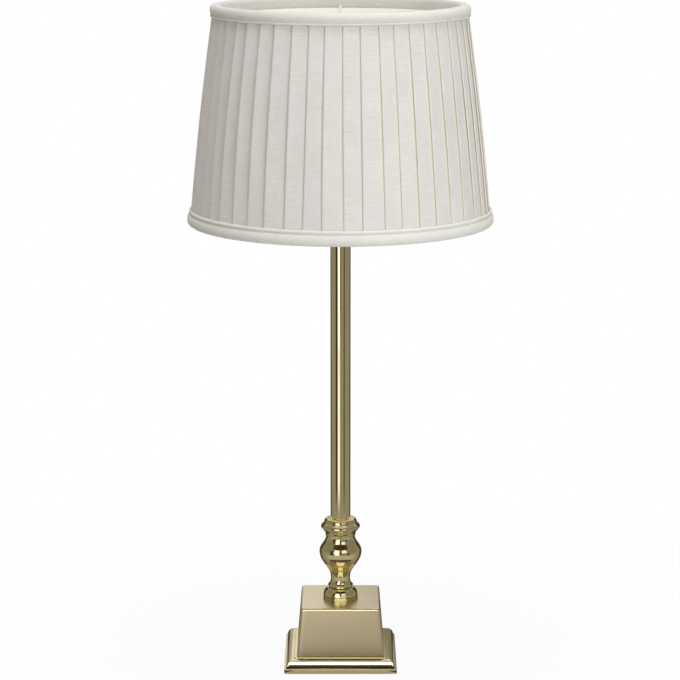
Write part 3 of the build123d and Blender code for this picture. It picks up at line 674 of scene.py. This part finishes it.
def linen_finish(name, pale, deep, turn=0.0, thread=THREAD, rise=WEAVE_RISE):
    """Linen of two tones, woven at an angle to the UV map, with warm light and shade painted where the cloth
    is tucked in.
    """
    finish, tree, shader = new_finish(name, Roughness=0.92, Sheen_Weight=0.12, Sheen_Roughness=0.5)
    flat = tree.add("ShaderNodeUVMap", uv_map="UVMap").outputs[0]
    turned_map = tree.add("ShaderNodeMapping", {"Vector": flat, "Rotation": (0.0, 0.0, turn)}).outputs[0]
    cloth = tree.add("ShaderNodeGroup", {"Vector": turned_map, "Thread": thread}, node_tree=weave)
    woven = tree.mix(tree.spread(cloth.outputs["Tone"], -0.5, 1.5), deep, pale)
    # painted shade: where the cloth is tucked in, its colour goes over to the warm tone
    tuck_shade = tree.math("MULTIPLY", tree.kept("tuck_shade"), TUCK_SHADE_SHARE)
    tree.feed(shader.inputs["Base Color"], tree.mix(tuck_shade, woven, PAINTED_TUCK_SHADE))
    bump(tree, shader, cloth.outputs["Height"], rise)
    return finish


linen = linen_finish("pleated_linen", colour(238, 238, 240), colour(208, 207, 205))
trim_linen = linen_finish("trim_linen", colour(236, 239, 237), colour(212, 214, 208), BIAS)
lining_linen = linen_finish(
    "lining_cloth", colour(244, 243, 238), colour(234, 232, 225), thread=LINING_THREAD, rise=LINING_RISE
)
lining_shader = lining_linen.node_tree.nodes["Principled BSDF"]
lining_shader.inputs["Emission Color"].default_value = colour(250, 250, 246)
lining_shader.inputs["Emission Strength"].default_value = LINING_GLOW
print("linen finishes:", linen.name, trim_linen.name, lining_linen.name)

# %% [markdown]
# ## The pleated cover
#
# A knife pleat is one sheet folded in a flat Z. From its crest the cloth runs to the right
# and dips under the next crest, turns back beneath it, and comes up again as that crest.
# The sheet is cut straight, so the narrower upper rim takes the same cloth with deeper
# folds. Everything on the shade is measured from one cone, the one over the crests.

# %% Shade cone
low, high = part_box("pleated_cover")
rim_low, rim_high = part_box("bottom_binding")[0].z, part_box("top_binding")[1].z
PLEATS = 48
PLEAT_TOP_RADIUS, PLEAT_BOTTOM_RADIUS = 0.1222, 0.1471
lean = (PLEAT_BOTTOM_RADIUS - PLEAT_TOP_RADIUS) / (rim_high - rim_low)
slope = math.hypot(1, lean)


def pleat_radius(z):
    """Radius over the crests: a straight cone from rim to rim."""
    return PLEAT_BOTTOM_RADIUS - (z - rim_low) * lean


print("the cone leans in by", round(1000 * lean), "mm in a metre")

# %% [markdown]
# Hand-laid pleats are never quite even, so each crest wanders a little and stands open a
# little, and those on the left stand open further, as on a shade that has been handled. A
# cloth simulation would fold them too, but its folds can't be counted or placed.

# %% Where the pleats stand
ROWS = 44
PLEAT_PHASE = math.radians(1.2)
CREST_WANDER = 0.075  # of a pleat's width, at each rim
CREST_SWAY = 0.02  # of a pleat's width, halfway up
FOLD_SHARE_LOW = 0.20  # how far a pleat runs on under the next one, at the lower rim
SPRUNG_SIDE = np.radians(212)
pitch = 2 * np.pi / PLEATS
height = np.linspace(low.z, high.z, ROWS)
up = ((height - low.z) / (high.z - low.z))[:, None, None]
radius = pleat_radius(height)[:, None, None]
cloth_width = pitch * pleat_radius(low.z) * (1 + 2 * FOLD_SHARE_LOW)
fold_share = (cloth_width / (pitch * radius) - 1) / 2

start = np.arange(PLEATS) * pitch + PLEAT_PHASE
wander_low = rng.uniform(-CREST_WANDER, CREST_WANDER, PLEATS) * pitch
wander_high = rng.uniform(-CREST_WANDER, CREST_WANDER, PLEATS) * pitch
sway = rng.uniform(-CREST_SWAY, CREST_SWAY, PLEATS) * pitch
lift = rng.uniform(0.1, 1.0, PLEATS)
sprung = np.clip(np.cos(start - SPRUNG_SIDE), 0, 1) ** 3
lift = lift + sprung * (0.2 + 0.6 * lift)
print("a pleat is %.1f mm wide below" % (1000 * pitch * pleat_radius(low.z)))

# %% [markdown]
# The way across one pleat is a short list of places: how far along it they lie, how deep,
# how much they lift where the pleat stands open, and how much warm shade is painted on them
# where they are tucked in. All pleats at all heights then come from one sum of whole arrays:
# a place stands at its crest's angle plus its share of the pleat's width, and its radius is
# the cone's, less its depth, plus the swell of the cover and the lift of the pleat.

# %% Pleated cover
COVER_DEPTH = 0.0016
BULGE = 0.0011
SWELL_SHARE = 0.9  # the cover swells by this much of the bulge, and its folds by this much of that
CLOTH = 0.00028
across = np.array([-0.012, -0.026, -0.018, 0.0, 0.03, 0.08, 0.16, 0.27, 0.42, 0.58, 0.74, 0.87, 0.96, 1.0])
deep = np.array([0.62, 0.42, 0.16, 0.0, -0.04, -0.03, 0.02, 0.12, 0.27, 0.43, 0.58, 0.70, 0.78, 0.81])
open_up = np.array([0.7, 0.9, 1.0, 1.0, 1.0, 0.9, 0.7, 0.4, 0.2, 0.1, 0.0, 0.0, 0.0, 0.0])
# painted shade: how much warm tone each place across the pleat takes where it is tucked in
tuck_shade_amount = np.array([0.9, 0.7, 0.35, 0.0, 0.0, 0.0, 0.0, 0.0, 0.0, 0.0, 0.05, 0.3, 0.8, 1.0])
under = np.array([0.35, 0.75, 1.0, 0.75, 0.35])
under_deep = np.array([0.88, 0.96, 0.92, 0.82, 0.74])


def crest_angle(i):
    """Where crest i stands at each height: its place, its wander from rim to rim and a slight bow."""
    i = i % PLEATS
    bowed = sway[i] * np.sin(np.pi * up)
    return start[i] + wander_low[i] * (1 - up) + wander_high[i] * up + bowed


which = np.arange(PLEATS)[None, :, None]
this_crest = crest_angle(which)
next_crest = crest_angle(which + 1) + np.where(which == PLEATS - 1, 2 * np.pi, 0.0)
width = next_crest - this_crest
open_amount = (lift[None, :, None] * np.sin(np.pi * up)) * BULGE
swell = BULGE * SWELL_SHARE * np.sin(np.pi * up)
angle_out = this_crest + width * across
radius_out = radius - COVER_DEPTH * deep + swell + open_amount * open_up
angle_under = next_crest + width * fold_share * under
radius_under = np.broadcast_to(radius - COVER_DEPTH * under_deep + swell * SWELL_SHARE, angle_under.shape)
angle = np.concatenate([angle_out, angle_under], axis=2).reshape(ROWS, -1)
reach = np.concatenate([radius_out, radius_under], axis=2).reshape(ROWS, -1)
cover_grid = ring_points(reach, angle, height[:, None])
print("one pleat has", len(across) + len(under), "places across it")

# %% [markdown]
# The cover's UV map is the sheet opened flat, in metres: how far along the cloth a place
# lies, measured over all the folds before it, and how far up the slant. The whole way
# round is then the length of linen that the cover takes.

# %% The cover's mesh and its flat map
step = np.linalg.norm(np.diff(cover_grid, axis=1, append=cover_grid[:, :1]), axis=-1).mean(axis=0)
flat_u = np.concatenate([[0.0], np.cumsum(step)[:-1]])
slant = (height - low.z) * slope
cover_uv = np.stack(np.meshgrid(flat_u, slant), axis=-1)
cover = new_piece(
    "pleated_cover_cloth", cover_grid, "shade", linen, wrap_rows=False, uv=cover_uv
)
# the painted warm shade in the folds, one number for each point; the turned-back parts take all of it
give_values(cover, "tuck_shade", np.tile(np.concatenate([tuck_shade_amount, np.ones(len(under))]), (ROWS, PLEATS)))
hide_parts("pleated_cover")

# %% [markdown]
# ## Bindings and lining
#
# A strip of the same linen is folded over each rim. The lower one is padded by the cloth
# turned up inside it and bulges in a soft roll under a narrow ridge; the upper one is
# flatter. Both pucker very slightly over each crest. A strip could be bent round with a
# curve modifier, but its section, carried round as an array, stays true at every rim.

# %% Bindings
TRIM = 0.0012
SEW = 0.0001
LINING = 0.0005
BACKING = 0.0004
LINING_DRAW_IN = 0.012  # of the radius
PUCKER = 0.00012
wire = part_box("top_wire_ring")[1].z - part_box("top_wire_ring")[0].z


def lining_radius(z):
    """The lining's inner face, one wire and three cloths inside the crests."""
    return pleat_radius(z) * (1 - LINING_DRAW_IN) - BACKING - 2 * SEW - wire - SEW - LINING


def binding_outline(rim, way, tall, lip, roll, ridge):
    """A binding's section (radius, height): from its lip over the roll and the rim to its inner leg and back.

    Each point is given by its share of the way to the rim and how far out it lies from the cloth.
    """
    def outer(share, out):
        z = rim - way * tall * (1 - share)
        return (pleat_radius(z) + SEW + out, z)

    def inner(share, out):
        z = rim - way * tall * (1 - share)
        return (lining_radius(z) - SEW - out, z)

    lip_share = lip / tall
    rest = 1 - lip_share
    ridge_top = outer(0.5 * lip_share, TRIM + ridge)
    ridge_curve = bow(outer(0.0, 0.3 * TRIM), ridge_top, outer(lip_share, 0.75 * TRIM), 9)
    roll_curve = bezier(
        outer(lip_share + 0.03, 0.7 * TRIM),
        outer(lip_share + 0.22 * rest, TRIM + 1.25 * roll),
        outer(lip_share + 0.80 * rest, TRIM + 1.35 * roll),
        outer(0.955, 0.55 * TRIM),
        26,
    )
    rim_curve = bezier(
        outer(0.955, 0.55 * TRIM), outer(1.01, -0.2 * TRIM), inner(1.01, -0.2 * TRIM), inner(0.95, TRIM), 18
    )
    leg = np.array([inner(0.6, TRIM), inner(0.25, TRIM), inner(0.0, 0.9 * TRIM), inner(0.0, 0.0)])
    back = np.array([inner(0.5, 0.0), inner(0.86, 0.0), outer(0.86, 0.0), outer(0.5, 0.0)])
    return np.vstack([ridge_curve, roll_curve, rim_curve[1:], leg, back])


def binding_grid(outline, pucker, steps=430):
    """The section carried round, moved out by pucker times cos(n a) and a slow drift, for n pleats."""
    angle = np.linspace(0, 2 * np.pi, steps, endpoint=False)[None, :]
    phase = rng.uniform(0, 2 * np.pi, 4)
    drift = sum(np.sin(k * angle + p) for k, p in zip((5, 9, 14, 23), phase)) / 4
    radius = outline[:, :1] + pucker * (np.cos(PLEATS * angle) + drift)
    return ring_points(radius, angle, outline[:, 1:] + 0.4 * pucker * drift)


def strip_uv(grid):
    """Metres round the ring and metres across the strip."""
    columns = grid.shape[1]
    girth = 2 * np.pi * np.linalg.norm(grid[..., :2], axis=-1).mean()
    across = np.linalg.norm(np.diff(grid[:, 0], axis=0), axis=-1)
    u = np.arange(columns) / columns * girth
    return np.stack(np.meshgrid(u, np.concatenate([[0.0], np.cumsum(across)])), axis=-1)


def make_binding(name, node, rim, way, tall, lip, roll, ridge):
    """One binding as a closed ring of cloth: its way is 1 at an upper rim and -1 at a lower one."""
    grid = binding_grid(binding_outline(rim, way, tall, lip, roll, ridge), PUCKER)
    piece = new_piece(name, grid, "shade", trim_linen, uv=strip_uv(grid))
    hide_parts(node)
    return piece


top_trim = make_binding(
    "top_binding_cloth", "top_binding", rim_high, 1, tall=0.012, lip=0.0024, roll=0.0016, ridge=0.0006
)
bottom_trim = make_binding(
    "bottom_binding_cloth", "bottom_binding", rim_low, -1, tall=0.015, lip=0.0036, roll=0.0019, ridge=0.0007
)

# %% [markdown]
# The lining is a smooth cone of thinner linen inside the wires, a little slack between
# them. It is one layer, like the cover, and a modifier gives both their thickness.

# %% Lining
low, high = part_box("shade_lining")
LINING_ROWS, LINING_STEPS = 24, 240
LINING_CLOTH = 0.0004
SLACK, SLACK_WAVES = 0.0002, 6
tall = high.z - low.z
lining_height = np.linspace(low.z, high.z, LINING_ROWS)[:, None]
angle = np.linspace(0, 2 * np.pi, LINING_STEPS, endpoint=False)[None, :]
slack = SLACK * np.sin(SLACK_WAVES * angle) * np.sin(np.pi * (lining_height - low.z) / tall)
lining_reach = lining_radius(lining_height) + LINING / 2 + slack
lining_grid = ring_points(lining_reach, angle, lining_height)
lining_uv = np.stack(
    np.meshgrid(angle[0] * float(lining_reach.mean()), (lining_height[:, 0] - low.z) * slope), axis=-1
)
lining = new_piece(
    "shade_lining_cloth", lining_grid, "shade", lining_linen, wrap_rows=False, uv=lining_uv
)
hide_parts("shade_lining")

# %% Thickness of the cloth
for cloth, thick, side in ((cover, CLOTH, -1.0), (lining, LINING_CLOTH, 0.0)):
    shell = cloth.modifiers.new("thickness", "SOLIDIFY")
    shell.thickness = thick
    shell.offset = side

# %% [markdown]
# ## The fittings
#
# The rest of the lamp, mostly inside it, keeps its exact solids, because turned nuts and
# moulded holders need no softer form. Each gets a finish of its own kind: two close tones
# that drift, and a fine grain in gloss and height.

# %% Finishes for the fittings
CLOUDS = 40.0  # drifts of tone per metre
GLOSSIER, ROUGHER = 0.05, 0.07


def plain_finish(name, pale, deep, roughness, rise, scale=600.0, **constants):
    """A moulded or coated surface: two close tones and a fine grain that rises by some metres."""
    finish, tree, shader = new_finish(name, **constants)
    place = tree.place()
    grain = tree.noise(place, scale, 3.0)
    cloud = tree.noise(place, CLOUDS, 3.0)
    tree.feed(shader.inputs["Base Color"], tree.mix(cloud, colour(*pale), colour(*deep)))
    tree.feed(shader.inputs["Roughness"], tree.spread(grain, roughness - GLOSSIER, roughness + ROUGHER))
    bump(tree, shader, grain, rise)
    return finish


finish_of_slot = {
    "polished_brass": polished_brass,
    "brushed_brass": brushed_brass,
    "contact_brass": brass_finish("rolled_brass", colour(222, 196, 128), colour(200, 168, 98), 0.25, 0.00001),
    "pleated_linen": linen,
    "lining_cloth": lining_linen,
    "trim_cloth": trim_linen,
    "felt": plain_finish("wool_felt", (58, 52, 46), (40, 36, 32), 0.95, 0.0004, 1400.0, Sheen_Weight=0.3),
    "plated_steel": plain_finish(
        "zinc_plate", (196, 198, 196), (168, 170, 166), 0.35, 0.00001, 300.0, Metallic=1.0
    ),
    "bulb_metal": plain_finish(
        "cap_metal", (206, 206, 206), (186, 186, 184), 0.25, 0.00001, 300.0, Metallic=1.0
    ),
    "cast_iron": plain_finish("cast_iron", (70, 70, 70), (48, 48, 48), 0.7, 0.0002, 500.0, Metallic=0.8),
    "bush_plastic": plain_finish("bush_plastic", (34, 34, 34), (24, 24, 24), 0.5, 0.00002),
    "holder_plastic": plain_finish("holder_plastic", (232, 230, 222), (220, 217, 206), 0.25, 0.00001),
    "porcelain": plain_finish("porcelain", (236, 236, 232), (224, 224, 218), 0.2, 0.00001),
    "white_wire": plain_finish("white_wire", (236, 236, 230), (222, 221, 213), 0.4, 0.00003, 900.0),
    "bulb_body": plain_finish("bulb_body", (236, 236, 233), (226, 226, 222), 0.42, 0.00001),
    "bulb_insulation": plain_finish("glazed_black", (28, 28, 32), (18, 18, 22), 0.2, 0.00001),
    "opal_globe": plain_finish(
        "opal_globe", (244, 242, 234), (238, 235, 226), 0.22, 0.000004, 200.0, Subsurface_Weight=0.2
    ),
}
slot_of_node = {part["node"]: part["material_slot"] for part in frame["record"]["subparts"]}
for name, node in nodes.items():
    node.data.materials.clear()
    node.data.materials.append(finish_of_slot[slot_of_node[name]])
print(len(finish_of_slot), "finishes on", len(nodes), "solids")

# %% [markdown]
# ## The studio
#
# The lamp stands on white paper, and a long lens a little above it gives the flat view of
# a catalogue picture. The camera's place and pitch were fitted to the edges of the base
# and the rims of the shade.

# %% Camera
CAMERA_PLACE = (-0.0005, -2.316, 0.8148)
CAMERA_PITCH = 11.865
LENS = 126.8
camera = bpy.data.objects.new("camera", bpy.data.cameras.new("camera"))
camera.location = CAMERA_PLACE
camera.rotation_euler = (math.radians(90 - CAMERA_PITCH), 0.0, 0.0)
camera.data.lens = LENS
camera.data.sensor_width = 36.0
bpy.context.scene.collection.objects.link(camera)
bpy.context.scene.camera = camera
bpy.context.scene.view_settings.view_transform = "Standard"
print("the camera stands", -CAMERA_PLACE[1], "m off and looks down by", CAMERA_PITCH, "degrees")

# %% [markdown]
# A large softbox to the right and one overhead light the cloth, and the world fills the
# shadows with a dimmer, slightly warm light. The world is pure white only to the camera,
# to reflections and to glass, which keeps the backdrop white without washing out the
# pleats.

# %% Light
FILL_LEVEL, FILL_TINT = 0.41, (1.02, 0.93, 0.81, 1.0)
WHITE = (1.0, 1.0, 1.0, 1.0)
MIDDLE = (0.0, 0.0, 0.5)


def add_light(name, place, size, power):
    """A square softbox that looks at the lamp's middle, and that metal doesn't see."""
    data = bpy.data.lights.new(name, "AREA")
    data.shape = "SQUARE"
    data.size = size
    data.energy = power
    softbox = bpy.data.objects.new(name, data)
    softbox.location = place
    away = np.array(place) - np.array(MIDDLE)
    turn = math.atan2(away[1], away[0])
    tip = math.atan2(math.hypot(away[0], away[1]), away[2])
    softbox.rotation_euler = (0.0, tip, turn)
    softbox.visible_glossy = False
    bpy.context.scene.collection.objects.link(softbox)
    print(name, power, "W")


add_light("key", (1.15, -2.0, 0.62), 1.3, 22.0)
add_light("overhead", (0.0, -0.5, 3.0), 0.9, 36.0)

world = bpy.data.worlds.new("studio")
bpy.context.scene.world = world
world.use_nodes = True
tree = Tree(world.node_tree)
rays = tree.add("ShaderNodeLightPath")
seen = tree.math("MAXIMUM", rays.outputs["Is Camera Ray"], rays.outputs["Is Glossy Ray"])
seen = tree.math("MAXIMUM", seen, rays.outputs["Is Transmission Ray"])
background = world.node_tree.nodes["Background"]
tree.feed(background.inputs["Color"], tree.mix(seen, FILL_TINT, WHITE))
tree.feed(background.inputs["Strength"], tree.spread(seen, FILL_LEVEL, 1.0))

# %% [markdown]
# The paper is a grey sheet that the camera sees as nearly white: close to the lamp a
# little of its shading is left, and further out it goes over into the backdrop. A sheet
# that was white for all rays would throw too much light up under the shade.

# %% Floor
PAPER_GREY = (0.60, 0.60, 0.60, 1.0)
FLOOR_HALF, FLOOR_DROP = 6.0, 0.0002
SHADED, WHITE_AGAIN = 0.1, 0.6  # distances from the lamp between which the shading fades out
NEAR_WHITE = 0.95


def stage_mesh(name, x, y, z, material, wrap_columns=False):
    """A piece of the studio from a grid of points, given as three arrays."""
    points = np.stack(np.broadcast_arrays(x, y, z), axis=-1)
    mesh = bpy.data.meshes.new(name)
    quads = grid_quads(*points.shape[:2], False, wrap_columns)
    mesh.from_pydata(points.reshape(-1, 3).tolist(), [], quads.tolist())
    mesh.materials.append(material)
    thing = bpy.data.objects.new(name, mesh)
    bpy.context.scene.collection.objects.link(thing)
    print(name, len(mesh.vertices), "points")
    return thing


paper, tree, shader = new_finish("white_paper", Base_Color=PAPER_GREY, Roughness=0.9)
glow = tree.add("ShaderNodeEmission", {"Color": WHITE, "Strength": 1.0})
away = tree.add("ShaderNodeVectorMath", {0: tree.place()}, operation="LENGTH").outputs["Value"]
whiteness = tree.spread(away, NEAR_WHITE, 1.0, SHADED, WHITE_AGAIN)
share = tree.math("MULTIPLY", tree.add("ShaderNodeLightPath").outputs["Is Camera Ray"], whiteness)
blend = tree.add("ShaderNodeMixShader", {0: share, 1: shader.outputs[0], 2: glow.outputs[0]})
tree.feed(paper.node_tree.nodes["Material Output"].inputs["Surface"], blend.outputs[0])
places = np.linspace(-FLOOR_HALF, FLOOR_HALF, 5)
floor_x, floor_y = np.meshgrid(places, places)
stage_mesh("floor", floor_x, floor_y, -FLOOR_DROP, paper)

# %% [markdown]
# Brass shows what stands round it. A photographer hangs a tent of white cloth, softboxes
# and black flags about polished metal, and here one dome does the same. Only reflections
# see it, so the cloth isn't lit by it.

# %% Reflection tent
TENT_RADIUS = 1.25
TENT_FLOOR = 0.0015


def smooth(value, edge, soft):
    """0 below the edge and 1 above it, with a soft step: t t (3 - 2 t)."""
    t = np.clip((value - edge) / soft + 0.5, 0, 1)
    return t * t * (3 - 2 * t)


def band(value, low, high, soft):
    """1 between two edges, 0 outside them."""
    return smooth(value, low, soft) * (1 - smooth(value, high, soft))


# a flat ring on the floor, then half a sphere: (r sin a, -r cos a, z)
floor_part = np.concatenate([np.linspace(0.08, 0.20, 24), np.linspace(0.21, TENT_RADIUS, 36)])
dome_part = np.radians(np.linspace(0.5, 89.5, 120))
tent_radius = np.concatenate([floor_part, TENT_RADIUS * np.cos(dome_part)])[:, None]
dome_height = TENT_FLOOR + TENT_RADIUS * np.sin(dome_part)
tent_height = np.concatenate([np.full(len(floor_part), TENT_FLOOR), dome_height])[:, None]
tent_angle = np.radians(np.linspace(0, 360, 720, endpoint=False))[None, :]
tent_x, tent_y = tent_radius * np.sin(tent_angle), -tent_radius * np.cos(tent_angle)
azimuth = np.degrees(np.arctan2(tent_x, -tent_y))
elevation = np.broadcast_to(np.degrees(np.arctan2(tent_height, tent_radius)), azimuth.shape)
behind = np.abs(azimuth)
on_wall = smooth(elevation, 1.5, 2.0)
on_floor = 1 - on_wall
far_off = smooth(tent_radius, 0.6, 0.1)
print("the tent is", 2 * TENT_RADIUS, "m wide")

# %% [markdown]
# The tent's brightness is painted as a number for each point: 0 is black, 1 is paper white
# and more is a lamp. Directions are in degrees: azimuth 0 faces the camera and grows to the
# right, and elevation grows from the floor. An image of a room would need a file, and its
# lights couldn't be moved one by one.

# %% The tent's brightness
WALL_GREY = 0.34


def paint(room, value, mask):
    """The room with a value painted over it where the mask is 1."""
    return room + (value - room) * mask


room = np.full(azimuth.shape, WALL_GREY)
# the paper before the lamp, and the lamp's own shadow on it close to the foot
room = paint(room, 0.54, band(tent_radius, 0.14, 0.50, 0.06) * on_floor * (1 - smooth(behind, 75, 60)))
room = paint(room, 0.05, band(tent_radius, 0.0, 0.132, 0.02) * on_floor * (1 - smooth(behind, 70, 20)))
# the walls at the sides, the white wall behind and the dim floor there
room = paint(room, 0.27, band(behind, 46, 130, 10) * band(elevation, 10, 50, 16))
room = paint(room, 0.95, smooth(behind, 135, 50) * smooth(elevation, 8, 8))
room = paint(room, 0.20, smooth(behind, 118, 30) * on_floor)
# low cards behind, right and left, and the black flags that give the stem its dark edges
room = paint(room, 0.25, band(azimuth, 142, 180, 8) * band(elevation, 0, 22, 5))
room = paint(room, 0.45, band(azimuth, -177, -140, 10) * band(elevation, 0, 17, 6))
room = paint(room, 0.06, band(behind, 126, 157, 8) * band(elevation, -2, 34, 6))
# the ceiling, and the dark above the softboxes
room = paint(room, 0.6, smooth(elevation, 78, 6))
room = paint(room, 0.05, band(azimuth, -54, 52, 5) * band(elevation, 47, 76, 3))
# the dark gaps beside the softboxes
room = paint(room, 0.05, band(azimuth, -57, -34, 4) * far_off * (1 - smooth(elevation, 40, 6)))
room = paint(room, 0.10, band(azimuth, 36, 50, 4) * far_off * (1 - smooth(elevation, 20, 6)))
# the left softbox down to the floor, the right one, and the gap where the camera looks in
room = paint(room, 1.4, band(azimuth, -31, -6, 3) * far_off * on_floor)
room = paint(room, 1.7, band(azimuth, -30, -6, 3) * band(elevation, 2, 14, 3))
room = paint(room, 1.7, band(azimuth, -38, -7, 3) * band(elevation, 13, 46, 3))
room = paint(room, 1.3, band(azimuth, 7, 36, 3) * band(elevation, 26, 46, 3))
room = paint(room, 0.12, band(azimuth, -6, 7, 2) * band(elevation, 4, 46, 4))
print("the tent runs from", round(float(room.min()), 2), "to", round(float(room.max()), 2))

# %% [markdown]
# The tent's own colour follows its brightness: the dark parts are warm, like a room, and
# the softboxes are a little blue, like daylight. It gives off light instead of being lit,
# so a reflection of it is free of noise.

# %% Tent and its paint
WARM_DARK, COOL_LAMP = (1.0, 0.93, 0.6, 1.0), (1.0, 1.02, 1.3, 1.0)


def bare_material(name):
    """A material without its Principled shader, with its tree and the socket that takes a surface."""
    material = bpy.data.materials.new(name)
    material.use_nodes = True
    tree = material.node_tree
    tree.nodes.remove(tree.nodes["Principled BSDF"])
    return material, Tree(tree), tree.nodes["Material Output"].inputs["Surface"]


def only_in_reflections(thing):
    """Hides a piece of the studio from every ray but a glossy one."""
    for ray in ("camera", "diffuse", "transmission", "volume_scatter", "shadow"):
        setattr(thing, "visible_" + ray, False)


card, tree, surface = bare_material("painted_card")
painted = tree.kept("painted")
warm = tree.mix(tree.spread(painted, 0.0, 1.0, 0.0, 0.4), WARM_DARK, WHITE)
tint = tree.mix(tree.spread(painted, 0.0, 1.0, 0.6, 1.5), warm, COOL_LAMP)
shine = tree.add("ShaderNodeEmission", {"Color": tint, "Strength": painted})
tree.feed(surface, shine.outputs[0])
tent = stage_mesh("reflection_tent", tent_x, tent_y, tent_height, card, wrap_columns=True)
give_values(tent, "painted", room)
only_in_reflections(tent)

# %% [markdown]
# The moulding's quarter-round looks up and outwards, and in the photo it has one white
# line. A card held low before the foot gives it. The card is white on its underside only,
# and only in a first reflection, so it doesn't show again by way of a second surface.

# %% Low white card
CARD_HALF_WIDTH = 0.08
CARD_NEAR, CARD_FAR, CARD_HEIGHT = -0.066, -0.135, 0.075
CARD_STRENGTH = 4.0
ONE_TURN = 1.5  # a glossy ray's depth is 1 at the first reflection and 2 at the next

under_card, tree, surface = bare_material("low_white_card")
from_above = tree.add("ShaderNodeNewGeometry").outputs["Backfacing"]
first_turn = tree.math("LESS_THAN", tree.add("ShaderNodeLightPath").outputs["Glossy Depth"], ONE_TURN)
strength = tree.math("MULTIPLY", first_turn, CARD_STRENGTH)
white = tree.add("ShaderNodeEmission", {"Color": WHITE, "Strength": strength})
clear = tree.add("ShaderNodeBsdfTransparent")
either = tree.add("ShaderNodeMixShader", {0: from_above, 1: white.outputs[0], 2: clear.outputs[0]})
tree.feed(surface, either.outputs[0])
card_x, card_y = np.meshgrid([-CARD_HALF_WIDTH, CARD_HALF_WIDTH], [CARD_NEAR, CARD_FAR])
only_in_reflections(stage_mesh("low_card", card_x, card_y, CARD_HEIGHT, under_card))

# %% [markdown]
# The dome mirrors the plinth's top, and in the photo that reflection is a bright golden
# patch. A small card just over the plinth lights it. The card shows only in a reflection of
# a reflection, so neither the dome nor the plinth mirrors the card itself.

# %% Card over the plinth
PATCH_NARROW, PATCH_WIDE = 0.011, 0.022
PATCH_BACK, PATCH_FRONT, PATCH_HEIGHT = -0.0205, -0.042, 0.0672
PATCH_TINT, PATCH_STRENGTH = (0.95, 1.08, 1.25, 1.0), 1.6

gold_card, tree, surface = bare_material("second_turn_card")
second_turn = tree.math("GREATER_THAN", tree.add("ShaderNodeLightPath").outputs["Glossy Depth"], ONE_TURN)
white = tree.add("ShaderNodeEmission", {"Color": PATCH_TINT, "Strength": PATCH_STRENGTH})
clear = tree.add("ShaderNodeBsdfTransparent")
either = tree.add("ShaderNodeMixShader", {0: second_turn, 1: clear.outputs[0], 2: white.outputs[0]})
tree.feed(surface, either.outputs[0])
patch_x = np.array([[-PATCH_NARROW, PATCH_NARROW], [-PATCH_WIDE, PATCH_WIDE]])
patch_y = np.array([[PATCH_BACK], [PATCH_FRONT]])
only_in_reflections(stage_mesh("card_over_plinth", patch_x, patch_y, PATCH_HEIGHT, gold_card))

# %% [markdown]
# Below its white line the quarter-round is nearly black. A dark strip stands upright
# before the moulding for that, painted with the tent's own finish.

# %% Low dark flag
FLAG_HALF_WIDTH, FLAG_PLACE = 0.07, -0.0665
FLAG_FOOT, FLAG_TOP = 0.0048, 0.0125
FLAG_BRIGHTNESS = 0.03
flag_x, flag_z = np.meshgrid([-FLAG_HALF_WIDTH, FLAG_HALF_WIDTH], [FLAG_FOOT, FLAG_TOP])
flag = stage_mesh("low_dark_flag", flag_x, FLAG_PLACE, flag_z, card)
give_values(flag, "painted", np.full(4, FLAG_BRIGHTNESS))
only_in_reflections(flag)
